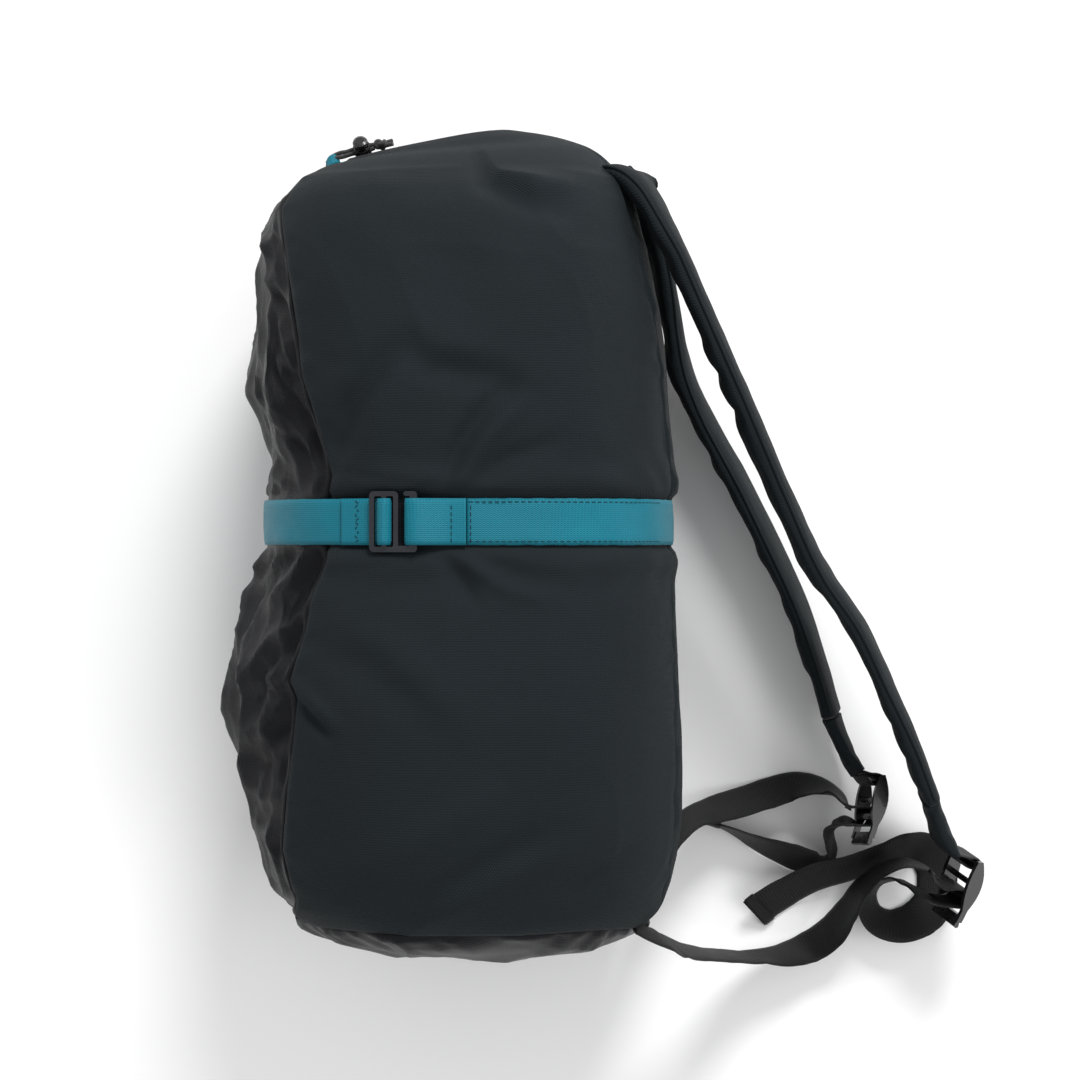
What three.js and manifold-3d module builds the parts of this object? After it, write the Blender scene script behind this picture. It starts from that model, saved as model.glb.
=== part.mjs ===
// A packable stuff sack with shoulder straps, stuffed full and lying on its left side.
// Millimetres. +X points to the sack's back and harness, +Y to its mouth, and +Z up, out of
// its right side panel. The origin is on the floor, under the middle of the compression strap.
import * as THREE from 'three';
import { mergeVertices } from 'three/addons/utils/BufferGeometryUtils.js';
import Module from 'manifold-3d';

const wasm = await Module();
wasm.setup();

const GAP = 0.4; // clearance between pieces that touch in use
const FABRIC = 2; // panel with its inner coating and seam allowance
const WEBBING = 25; // width of every webbing strap
const WEBBING_THICK = 1.6;
const GROOVE = GAP + WEBBING_THICK; // how far the compression strap presses the panels in
const GROOVE_HALF = 13.3; // half width of the pressed band
const GROOVE_EDGE = 4; // width of the slope on each side of it
const CORD_R = 1.25;

// Ribs of the stuffed sack from the middle of its bottom to the rim of its mouth:
// height along the sack, rise of that height per mm towards the back, front edge, back edge,
// lowest and highest point. A negative lowest point is pressed flat by the floor.
const RIBS = [
  [-248, 0, 16, 16, 118, 118],
  [-246.5, 0, -17, 55, 84, 152],
  [-239.5, 0, -62, 92, 54, 183],
  [-228, 0, -86, 111, 34, 203],
  [-217, 0, -101, 120, 20, 215],
  [-201, 0, -110, 125, 8, 224],
  [-176, 0, -117, 130, -3, 231],
  [-132, 0, -126, 131, -8, 236],
  [-96, 0, -131, 131, -9, 238],
  [-51, 0, -120, 130, -9, 236],
  [0, 0, -108, 128.5, -8, 230],
  [38, 0, -109, 127, -8, 232],
  [77, 0, -117, 123.5, -8, 234],
  [118, 0, -115, 119, -5, 232],
  [157, 0, -114, 111, 3, 224],
  [179, 0.01, -108, 106, 13, 213],
  [193, 0.03, -100, 100, 28, 199],
  [205, 0.06, -84, 88, 48, 181],
  [211, 0.09, -70, 74, 68, 166],
  [215, 0.14, -66, 52, 80, 156],
  [216, 0.2, -64, 26, 90, 146],
  [209, 0.13, -62, -3, 96, 140],
  [198, 0.05, -61, -23, 99, 137],
];
const SIDE_POWER = 0.8; // exponents of the cross-section's superellipse
const FRONT_POWER = 0.85;
const BACK_POWER = 0.55;
const BOTTOM_SEAM = 3.3; // stations, counted in ribs
const MOUTH_SEAM = RIBS.length - 1;

const MOUTH_X = -42;
const MOUTH_Z = 118;
const CHANNEL_R = 18;
const CHANNEL_HOLE_R = 10.5;
const CHANNEL_TOP = 203;
const CHANNEL_FOOT = 191;

const root = new THREE.Group();
export default root;

// ---------------------------------------------------------------- materials
const looks = {
  side: { color: 0x20262a, roughness: 0.85, metalness: 0 },
  nylon: { color: 0x1b1a1e, roughness: 0.45, metalness: 0 },
  teal: { color: 0x14808f, roughness: 0.6, metalness: 0 },
  black: { color: 0x141416, roughness: 0.7, metalness: 0 },
  foam: { color: 0x3a3a3d, roughness: 0.95, metalness: 0 },
  metal: { color: 0x3c3e42, roughness: 0.35, metalness: 0.9 },
  plastic: { color: 0x111113, roughness: 0.3, metalness: 0 },
  steel: { color: 0x9a9ca0, roughness: 0.3, metalness: 1 },
};

function signedVolume(geometry) {
  const position = geometry.attributes.position;
  const index = geometry.index.array;
  const [a, b, c] = [new THREE.Vector3(), new THREE.Vector3(), new THREE.Vector3()];
  let volume = 0;
  for (let i = 0; i < index.length; i += 3) {
    a.fromBufferAttribute(position, index[i]);
    b.fromBufferAttribute(position, index[i + 1]);
    c.fromBufferAttribute(position, index[i + 2]);
    volume += a.dot(b.cross(c)) / 6;
  }
  return volume;
}

// Welds a warped geometry, drops triangles that have collapsed, and turns its faces outwards.
function weld(geometry) {
  const bare = geometry.clone();
  bare.deleteAttribute('normal');
  bare.deleteAttribute('uv');
  const welded = mergeVertices(bare, 1e-4);
  const kept = [];
  const index = welded.index.array;
  for (let i = 0; i < index.length; i += 3) {
    const [a, b, c] = [index[i], index[i + 1], index[i + 2]];
    if (a !== b && b !== c && c !== a) kept.push(a, b, c);
  }
  welded.setIndex(kept);
  if (signedVolume(welded) < 0) {
    for (let i = 0; i < kept.length; i += 3) [kept[i + 1], kept[i + 2]] = [kept[i + 2], kept[i + 1]];
    welded.setIndex(kept);
  }
  welded.computeVertexNormals();
  return welded;
}

function add(name, geometry, look, parent = root) {
  const mesh = new THREE.Mesh(geometry, new THREE.MeshStandardMaterial(looks[look]));
  mesh.name = name;
  parent.add(mesh);
  return mesh;
}

// Moves every vertex of a template geometry to where place(x, y, z) puts it.
function warp(template, place) {
  const position = template.attributes.position;
  for (let i = 0; i < position.count; i += 1) {
    const p = place(position.getX(i), position.getY(i), position.getZ(i));
    position.setXYZ(i, p.x, p.y, p.z);
  }
  return weld(template);
}

function toSolid(geometry) {
  const welded = weld(geometry);
  return new wasm.Manifold(new wasm.Mesh({
    numProp: 3,
    vertProperties: new Float32Array(welded.attributes.position.array),
    triVerts: new Uint32Array(welded.index.array),
  }));
}

function fromSolid(solid) {
  const mesh = solid.getMesh();
  const geometry = new THREE.BufferGeometry();
  geometry.setAttribute('position', new THREE.BufferAttribute(new Float32Array(mesh.vertProperties), 3));
  geometry.setIndex(Array.from(mesh.triVerts));
  return weld(geometry);
}

function joined(geometries) {
  return fromSolid(geometries.map(toSolid).reduce((whole, solid) => whole.add(solid)));
}

// A round wire along a route of points, closed at both ends.
function wire(route, radius) {
  const shape = new THREE.Shape(Array.from({ length: 6 }, (_, i) => {
    const angle = (Math.PI * i) / 3;
    return new THREE.Vector2(radius * Math.cos(angle), radius * Math.sin(angle));
  }));
  const extrudePath = new THREE.CatmullRomCurve3(route);
  return weld(new THREE.ExtrudeGeometry(shape, { steps: route.length + 10, extrudePath }));
}

// ---------------------------------------------------------------- the sack's surface
const { lerp, clamp, smoothstep, degToRad, radToDeg } = THREE.MathUtils;

function rib(station) {
  const last = RIBS.length - 1;
  const i = clamp(Math.floor(station), 0, last - 1);
  const f = station - i;
  const knot = (k, column) => RIBS[clamp(k, 0, last)][column];
  const value = (column) => {
    const [p0, p1, p2, p3] = [i - 1, i, i + 1, i + 2].map((k) => knot(k, column));
    const [m1, m2] = [(p2 - p0) / 2, (p3 - p1) / 2];
    const [f2, f3] = [f * f, f * f * f];
    return (2 * f3 - 3 * f2 + 1) * p1 + (f3 - 2 * f2 + f) * m1 + (3 * f2 - 2 * f3) * p2 + (f3 - f2) * m2;
  };
  const [y, tilt, front, back, low, high] = [0, 1, 2, 3, 4, 5].map(value);
  return { y, tilt, x: (front + back) / 2, z: (low + high) / 2, halfX: (back - front) / 2, halfZ: (high - low) / 2 };
}

const BELT_STATION = 10;

// The rib at a station, drawn in to a straight waist under the compression strap.
function waistedRib(station) {
  const r = rib(station);
  const waist = rib(BELT_STATION);
  const pull = 1 - smoothstep(Math.abs(r.y), GROOVE_HALF + 0.5, 45);
  for (const key of ['x', 'z', 'halfX', 'halfZ']) r[key] = lerp(r[key], waist[key], pull);
  return r;
}

function signedPower(value, power) {
  return Math.sign(value) * Math.abs(value) ** power;
}

// The undented outside of the sack. The angle is in degrees, from the back over the right side.
function skin(station, angle) {
  const r = waistedRib(station);
  const [c, s] = [Math.cos(degToRad(angle)), Math.sin(degToRad(angle))];
  const dx = r.halfX * signedPower(c, c < 0 ? FRONT_POWER : BACK_POWER);
  const z = r.z + r.halfZ * signedPower(s, SIDE_POWER);
  return new THREE.Vector3(r.x + dx, r.y + r.tilt * dx, Math.max(z, 0));
}

function inward(station, angle) {
  const step = 0.02;
  const along = skin(station + step, angle).sub(skin(Math.max(station - step, 0), angle));
  const around = skin(station, angle + 1).sub(skin(station, angle - 1));
  const normal = around.cross(along);
  return normal.lengthSq() < 1e-9 ? new THREE.Vector3(0, 1, 0) : normal.normalize();
}

function groove(y) {
  return GROOVE * clamp((GROOVE_HALF + GROOVE_EDGE - Math.abs(y)) / GROOVE_EDGE, 0, 1);
}

// A point of the panels, depth mm under their outside (negative is above it).
function sackPoint(station, angle, depth) {
  const p = skin(station, angle);
  return p.addScaledVector(inward(station, angle), depth + groove(p.y));
}

function stationAt(y) {
  let [low, high] = [0, 18];
  for (let i = 0; i < 40; i += 1) {
    const middle = (low + high) / 2;
    if (rib(middle).y < y) low = middle;
    else high = middle;
  }
  return low;
}

// Seam lines, in degrees from the back over the right side; the left side mirrors them.
function frontSeam(station) {
  return 122 + 20 * (rib(station).y / 175) ** 2;
}

function backSeam(station) {
  return 19 + 9 * smoothstep(rib(station).y, 90, 180);
}

function arcDegrees(station, length) {
  const r = rib(station);
  return radToDeg(length / Math.min(r.halfX, r.halfZ));
}

// A shell between two seams: stations is the list of its rows, from and to give its edges.
function shell(stations, columns, from, to, outer, inner) {
  const rows = stations.length - 1;
  return warp(new THREE.BoxGeometry(1, 1, 1, columns, rows, 1), (x, y, z) => {
    const station = stations[Math.round((y + 0.5) * rows)];
    const angle = lerp(to(station), from(station), x + 0.5);
    return sackPoint(station, angle, z > 0 ? outer : inner);
  });
}

const grooveStations = [-1, 1].flatMap((side) => [GROOVE_HALF, GROOVE_HALF + GROOVE_EDGE].map((y) => stationAt(side * y)));
const panelStations = [
  BOTTOM_SEAM + 0.03, 4, 5, 6, 7, 8, 9, BELT_STATION, 11, 12, 13, 14, 15, 16, 17, 18, 19, 20, 20.5, 21,
  MOUTH_SEAM, ...grooveStations,
].sort((a, b) => a - b);

// ---------------------------------------------------------------- sack body
const SIDE_COLUMNS = 9;
const FRONT_COLUMNS = 10;
const BACK_COLUMNS = 4;
const RING_SEGMENTS = 32;
const panels = {
  side_panel_right: { columns: SIDE_COLUMNS, look: 'side', from: backSeam, to: frontSeam },
  side_panel_left: { columns: SIDE_COLUMNS, look: 'side', from: (s) => 360 - frontSeam(s), to: (s) => 360 - backSeam(s) },
  front_gusset: { columns: FRONT_COLUMNS, look: 'nylon', from: frontSeam, to: (s) => 360 - frontSeam(s) },
  back_panel: { columns: BACK_COLUMNS, look: 'side', from: (s) => -backSeam(s), to: backSeam },
};

function sackPanel({ columns, from, to }) {
  const inset = (station) => arcDegrees(station, 0.5);
  return shell(panelStations, columns, (s) => from(s) + inset(s), (s) => to(s) - inset(s), 0, FABRIC);
}

for (const [name, panel] of Object.entries(panels)) add(name, sackPanel(panel), panel.look);

// A ring or dish around the sack's axis: each profile point is [station, depth].
function revolved(profile, segments) {
  const points = profile.map((point, i) => new THREE.Vector2(point[0], i));
  return warp(new THREE.LatheGeometry(points, segments), (x, y, z) => {
    const [station, depth] = profile[Math.round(y)];
    return sackPoint(station, radToDeg(Math.atan2(z, x)), depth);
  });
}

const bottomStations = [0, 0.5, 1, 1.6, 2.4, BOTTOM_SEAM - 0.03];
add('bottom_panel', revolved([
  ...bottomStations.map((s) => [s, 0]),
  ...bottomStations.toReversed().map((s) => [s, FABRIC]),
], RING_SEGMENTS), 'nylon');

// Tape that binds each seam inside the sack.
const TAPE_WIDTH = 10;
const TAPE_OUTER = FABRIC + 1;
const TAPE_INNER = TAPE_OUTER + 1.2;
const tapeStations = panelStations.filter((s) => s > BOTTOM_SEAM + 0.6 && s < 17);
const seams = {
  front_right: frontSeam,
  front_left: (s) => 360 - frontSeam(s),
  back_right: backSeam,
  back_left: (s) => 360 - backSeam(s),
};
for (const [name, seam] of Object.entries(seams)) {
  const half = (station) => arcDegrees(station, TAPE_WIDTH / 2);
  const tape = shell(tapeStations, 1, (s) => seam(s) - half(s), (s) => seam(s) + half(s), TAPE_OUTER, TAPE_INNER);
  add(`seam_tape_${name}`, tape, 'black');
}
const bottomTape = [-0.4, 0, 0.4].map((offset) => BOTTOM_SEAM + offset);
add('seam_tape_bottom', revolved([
  ...bottomTape.map((s) => [s, TAPE_OUTER + 1]),
  ...bottomTape.toReversed().map((s) => [s, TAPE_INNER + 1]),
  [bottomTape[0], TAPE_OUTER + 1],
], RING_SEGMENTS), 'black');

// ---------------------------------------------------------------- drawcord mouth
function aroundMouth(profile, segments) {
  const points = profile.map(([radius, y]) => new THREE.Vector2(radius, y));
  return new THREE.LatheGeometry(points, segments).translate(MOUTH_X, 0, MOUTH_Z);
}

// The hem folded over into a channel, open where it is stitched down inside.
const WALL = 1.2;
add('drawcord_channel', aroundMouth([
  [CHANNEL_HOLE_R, CHANNEL_FOOT], [CHANNEL_HOLE_R + WALL, CHANNEL_FOOT], [CHANNEL_HOLE_R + WALL, CHANNEL_TOP - WALL],
  [CHANNEL_R - WALL, CHANNEL_TOP - WALL], [CHANNEL_R - WALL, CHANNEL_FOOT], [CHANNEL_R, CHANNEL_FOOT],
  [CHANNEL_R, CHANNEL_TOP - 1], [CHANNEL_R - 1, CHANNEL_TOP], [CHANNEL_HOLE_R + 1, CHANNEL_TOP],
  [CHANNEL_HOLE_R, CHANNEL_TOP - 1], [CHANNEL_HOLE_R, CHANNEL_FOOT],
], 20), 'nylon');
add('drawcord_loop', weld(new THREE.TorusGeometry((CHANNEL_R + CHANNEL_HOLE_R) / 2, CORD_R, 6, 20)
  .rotateX(Math.PI / 2).translate(MOUTH_X, CHANNEL_FOOT + 6, MOUTH_Z)), 'black');

// The cord lock's own axes: x along the cord to its knot, y out of the barrel through the
// plunger's head, and z across the two cords.
const lockOnCord = new THREE.Group();
const cordAlong = new THREE.Vector3(0.966, 0.259, 0).normalize();
const plungerOut = new THREE.Vector3(-0.13, 0.483, 0.866).normalize();
lockOnCord.matrix.makeBasis(cordAlong, plungerOut, cordAlong.clone().cross(plungerOut)).setPosition(-51, 213.9, 131);
lockOnCord.matrixAutoUpdate = false;
root.add(lockOnCord);

const CORD_START = -16.5;
const CORD_END = 7;
const KNOT_R = 3.8;
const BARREL = { r: 5, bore: 3.9, foot: -7.5, floor: -6.5, top: 2.6 };
const PLUNGER = { r: 3.6, foot: -2.6, neck: 5.2, top: 8 };
const PRESS = 2.4; // how far the plunger goes in
const SLOT = { half: CORD_R + 0.35, across: 2 * CORD_R + 0.45 };

function lathe(profile, segments) {
  return new THREE.LatheGeometry(profile.map(([r, y]) => new THREE.Vector2(r, y)), segments);
}

// Cuts the way for both cords through a body, between two heights.
function slotted(geometry, from, to) {
  const way = new THREE.BoxGeometry(20, to - from, 2 * SLOT.across).translate(0, (from + to) / 2, 0);
  return fromSolid(toSolid(geometry).subtract(toSolid(way)));
}

for (const [name, z] of [['drawcord_tail_a', CORD_R + 0.2], ['drawcord_tail_b', -CORD_R - 0.2]]) {
  const cord = new THREE.CylinderGeometry(CORD_R, CORD_R, CORD_END - CORD_START, 8).rotateZ(Math.PI / 2);
  add(name, weld(cord.translate((CORD_START + CORD_END) / 2, 0, z)), 'black', lockOnCord);
}
add('drawcord_knot', weld(new THREE.SphereGeometry(KNOT_R, 12, 8)
  .translate(CORD_END + GAP + KNOT_R, 0, 0)), 'black', lockOnCord);
add('cord_exit_tab', weld(new THREE.BoxGeometry(3.4, 3, 7)
  .translate(CORD_START - GAP - 1.7, 0.6, -1)), 'teal', lockOnCord);
add('cord_lock_barrel', slotted(lathe([
  [0, BARREL.foot], [BARREL.r - 0.8, BARREL.foot], [BARREL.r, BARREL.foot + 0.8], [BARREL.r, BARREL.top],
  [BARREL.bore, BARREL.top], [BARREL.bore, BARREL.floor], [0, BARREL.floor],
], 20), -SLOT.half, SLOT.half), 'plastic', lockOnCord);
add('cord_lock_plunger', slotted(lathe([
  [0, PLUNGER.foot], [PLUNGER.r, PLUNGER.foot], [PLUNGER.r, PLUNGER.neck], [PLUNGER.r + 0.8, PLUNGER.neck + 1.3],
  [PLUNGER.r + 0.3, PLUNGER.top - 0.6], [PLUNGER.r - 1, PLUNGER.top], [0, PLUNGER.top],
], 20), -SLOT.half, SLOT.half + PRESS), 'plastic', lockOnCord);

const SPRING_R = 2.3;
const SPRING_WIRE = 0.3;
const SPRING_TURNS = 2.5;
const springHeight = PLUNGER.foot - BARREL.floor - 2 * SPRING_WIRE - 0.4;
const coil = Array.from({ length: 31 }, (_, i) => {
  const turn = (2 * Math.PI * SPRING_TURNS * i) / 30;
  const y = BARREL.floor + SPRING_WIRE + 0.2 + (springHeight * i) / 30;
  return new THREE.Vector3(SPRING_R * Math.cos(turn), y, SPRING_R * Math.sin(turn));
});
add('cord_lock_spring', wire(coil, SPRING_WIRE), 'steel', lockOnCord);

// ---------------------------------------------------------------- compression strap
// The columns of the panels at the strap, so that strap and panels share their facets.
const beltAngles = Object.values(panels).flatMap(({ columns, from, to }) => (
  Array.from({ length: columns + 1 }, (_, i) => lerp(from(BELT_STATION), to(BELT_STATION), i / columns))
)).sort((a, b) => a - b);

// A stretch of strap lying in its groove between two angles.
function belt(from, to) {
  const between = beltAngles.filter((angle) => angle > from + 0.5 && angle < to - 0.5);
  const angles = [from, ...between, to];
  const columns = angles.length - 1;
  return warp(new THREE.BoxGeometry(1, 1, 1, columns, 2, 1), (x, y, z) => {
    const angle = angles[Math.round((0.5 - x) * columns)];
    return sackPoint(stationAt(y * WEBBING), angle, z > 0 ? -GROOVE : -GAP);
  });
}

// Angle at which the strap's groove passes a given x, on the right side.
function angleAtX(x) {
  let [low, high] = [1, 179];
  for (let i = 0; i < 40; i += 1) {
    const middle = (low + high) / 2;
    if (skin(BELT_STATION, middle).x > x) low = middle;
    else high = middle;
  }
  return low;
}

// A flat band swept along a route. across(u) says which way its width points.
function band({ route, width = WEBBING, thickness = WEBBING_THICK, steps, across }) {
  const curve = new THREE.CatmullRomCurve3(route);
  return warp(new THREE.BoxGeometry(width, thickness, 1, 1, 1, steps), (x, y, z) => {
    const u = z + 0.5;
    const tangent = curve.getTangentAt(u);
    const side = across(u);
    side.addScaledVector(tangent, -side.dot(tangent)).normalize();
    const normal = tangent.clone().cross(side);
    return curve.getPointAt(u).addScaledVector(side, x).addScaledVector(normal, y);
  });
}

// The hardware lies on a plane that leans with the panel: x along the strap from the hook's
// front edge, y along the sack, and height above the bottom of the strap's groove.
const HOOK_X = -39.6;
const hookSeat = skin(BELT_STATION, angleAtX(HOOK_X));
const hookAhead = skin(BELT_STATION, angleAtX(HOOK_X + 26)).sub(hookSeat).normalize();
const hardware = new THREE.Group();
hardware.position.copy(hookSeat);
hardware.rotation.y = -Math.atan2(hookAhead.z, hookAhead.x);
root.add(hardware);
const across = () => new THREE.Vector3(0, 1, 0);

// A point over the strap's groove: x as on the hardware plane, height above the groove's floor.
function overGroove([x, height]) {
  const angle = angleAtX(HOOK_X + x * Math.cos(hardware.rotation.y));
  return skin(BELT_STATION, angle).addScaledVector(inward(BELT_STATION, angle), GROOVE - height);
}

const FOLD_END = -16.5; // the sewn-back end of the strap, in front of the hook
const FOLD_PLY = 1.3; // one ply where the strap is doubled
const HOOK_WIDTH = 32.6; // along the sack
const HOOK_DEPTH = 16; // along the strap
const HOOK_BAR = 2.7;
const HOOK_PLATE = 2.4;
const HOOK_LIFT = 4.6; // plate's underside above the groove
const MIDDLE_BAR = [6.9, 9.3];
const HOOK_ARM = [22.3, 26.4];
const HOOK_REACH = 3.4; // width of the arm's foot and of its tip

function plate(outline, holes = []) {
  const shape = new THREE.Shape(outline);
  shape.holes = holes;
  return new THREE.ExtrudeGeometry(shape, { depth: HOOK_PLATE, curveSegments: 3, bevelEnabled: false })
    .translate(0, 0, HOOK_LIFT - GROOVE);
}

function roundedBox(path, x0, y0, x1, y1, r) {
  path.moveTo(x0 + r, y0);
  path.lineTo(x1 - r, y0);
  path.absarc(x1 - r, y0 + r, r, -Math.PI / 2, 0);
  path.lineTo(x1, y1 - r);
  path.absarc(x1 - r, y1 - r, r, 0, Math.PI / 2);
  path.lineTo(x0 + r, y1);
  path.absarc(x0 + r, y1 - r, r, Math.PI / 2, Math.PI);
  path.lineTo(x0, y0 + r);
  path.absarc(x0 + r, y0 + r, r, Math.PI, Math.PI * 1.5);
  return path;
}

function gHook() {
  const half = HOOK_WIDTH / 2;
  const frame = roundedBox(new THREE.Shape(), 0, -half, HOOK_DEPTH, half, 2.5);
  const slot = (x0, x1) => roundedBox(new THREE.Path(), x0, -13.4, x1, half - HOOK_BAR, 0.8);
  frame.holes = [slot(HOOK_BAR, MIDDLE_BAR[0]), slot(MIDDLE_BAR[1], HOOK_DEPTH - HOOK_BAR)];
  const [armLeft, armRight] = HOOK_ARM;
  const arm = new THREE.Shape();
  arm.moveTo(HOOK_DEPTH - 2, -half);
  arm.lineTo(armRight - 2, -half);
  arm.absarc(armRight - 2, 2 - half, 2, -Math.PI / 2, 0);
  arm.lineTo(armRight, half - 2);
  arm.absarc(armRight - 2, half - 2, 2, 0, Math.PI / 2);
  arm.lineTo(armLeft - 2, half);
  arm.absarc(armLeft - 2, half - 1.3, 1.3, Math.PI / 2, Math.PI * 1.5);
  arm.lineTo(armLeft, half - 2 * 1.3);
  arm.lineTo(armLeft, HOOK_REACH - half);
  arm.lineTo(HOOK_DEPTH - 2, HOOK_REACH - half);
  return joined([frame, arm].map((shape) => plate(shape.getPoints(3), shape.holes)));
}
add('g_hook', gHook(), 'metal', hardware);

// Strap end: under the hook's front bar, up round its middle bar and back over itself.
const barMiddle = (MIDDLE_BAR[0] + MIDDLE_BAR[1]) / 2;
const barTop = HOOK_LIFT + HOOK_PLATE;
add('strap_hook_fold', band({
  route: [
    [FOLD_END, 0.4], [-8, 0.5], [-1, 0.6], [5, 0.9], [8.5, 1.6], [11.0, 3.2], [11.2, 5.6],
    [barMiddle + 0.8, barTop + 1.05], [barMiddle - 1.2, barTop + 0.85], [5, barTop - 1.2], [4.4, 4.1], [2.6, 2.6],
    [-1.5, 2.2], [-8, 2.15], [FOLD_END, 2.1],
  ].map(([x, h]) => overGroove([x, h + FOLD_PLY / 2])),
  thickness: FOLD_PLY, steps: 44, across,
}), 'teal');

// Receiving loop: round the hook's arm and back, sewn down to the side of the sack.
const LOOP_END = 52;
const armMiddle = (HOOK_ARM[0] + HOOK_ARM[1]) / 2;
add('strap_receiving_loop', band({
  route: [
    [LOOP_END, 0.2], [42, 0.3], [33, 0.9], [27, 1.7], [23.5, 2.2], [20.4, 3.6], [19.6, 5.2], [20.6, 7],
    [armMiddle, barTop + 1.2], [29, barTop], [34, 4.6], [42, 2.3], [LOOP_END, 2],
  ].map(([x, h]) => overGroove([x, h + FOLD_PLY / 2])),
  thickness: FOLD_PLY, steps: 40, across,
}), 'teal');

const backAnchor = backSeam(BELT_STATION) - 4;
const strapEnd = (x) => angleAtX(HOOK_X + x * Math.cos(hardware.rotation.y));
add('strap_right_run', belt(backAnchor, strapEnd(LOOP_END + GAP)), 'teal');
add('strap_front_run', belt(strapEnd(FOLD_END - GAP), 214), 'teal');
add('strap_left_run', belt(214.3, 360 - backAnchor), 'teal');

// ---------------------------------------------------------------- shoulder straps
const FLOOR = null; // height of a route point whose webbing stands or lies on the floor

// Route points are [x, y, height, lean]: the lean is in degrees from standing on its edge.
function heightOnFloor(lean) {
  return (WEBBING * Math.cos(degToRad(lean)) + WEBBING_THICK * Math.sin(degToRad(lean))) / 2 + 0.4;
}

function vectors(points) {
  return points.map(([x, y, z, lean]) => new THREE.Vector3(x, y, z === FLOOR ? heightOnFloor(lean) : z));
}

// Width direction of a piece that leans, from point to point of its route, by the leans given.
function leaning(points) {
  const curve = new THREE.CatmullRomCurve3(vectors(points));
  return (u) => {
    const place = curve.getUtoTmapping(u) * (points.length - 1);
    const i = Math.min(Math.floor(place), points.length - 2);
    const lean = degToRad(lerp(points[i][3], points[i + 1][3], place - i));
    const tangent = curve.getTangentAt(u);
    const upright = new THREE.Vector3(0, 0, 1).addScaledVector(tangent, -tangent.z).normalize();
    return upright.applyAxisAngle(tangent, lean);
  };
}

// A closed outline with blunt ends, as wide and thick as given.
function padOutline(width, thickness, count = 10) {
  return Array.from({ length: count }, (_, i) => {
    const angle = (2 * Math.PI * (i + 0.5)) / count;
    return new THREE.Vector2(
      (width / 2) * signedPower(Math.cos(angle), 0.6),
      (thickness / 2) * signedPower(Math.sin(angle), 0.8),
    );
  });
}

// Sweeps an outline along a route; scale(u) shrinks it along the way.
function padded({ points, outline, hole, steps, scale = () => 1 }) {
  const curve = new THREE.CatmullRomCurve3(vectors(points));
  const sideways = leaning(points);
  const shape = new THREE.Shape(outline);
  if (hole) shape.holes = [new THREE.Path(hole)];
  return warp(new THREE.ExtrudeGeometry(shape, { depth: 1, steps, bevelEnabled: false }), (x, y, z) => {
    const tangent = curve.getTangentAt(z);
    const side = sideways(z);
    const normal = tangent.clone().cross(side);
    return curve.getPointAt(z).addScaledVector(side, x * scale(z)).addScaledVector(normal, y * scale(z));
  });
}

const PAD_WIDTH = 52;
const PAD_THICK = 14;
const COVER = 1.2;
const SLEEVE_WIDTH = 32;
const SLEEVE_THICK = 10;
const LOCK_LENGTH = 40;
const LOCK_WIDTH = 33;
const LOCK_RAIL = 3.2;
const LOCK_THICK = 3.4;

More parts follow.
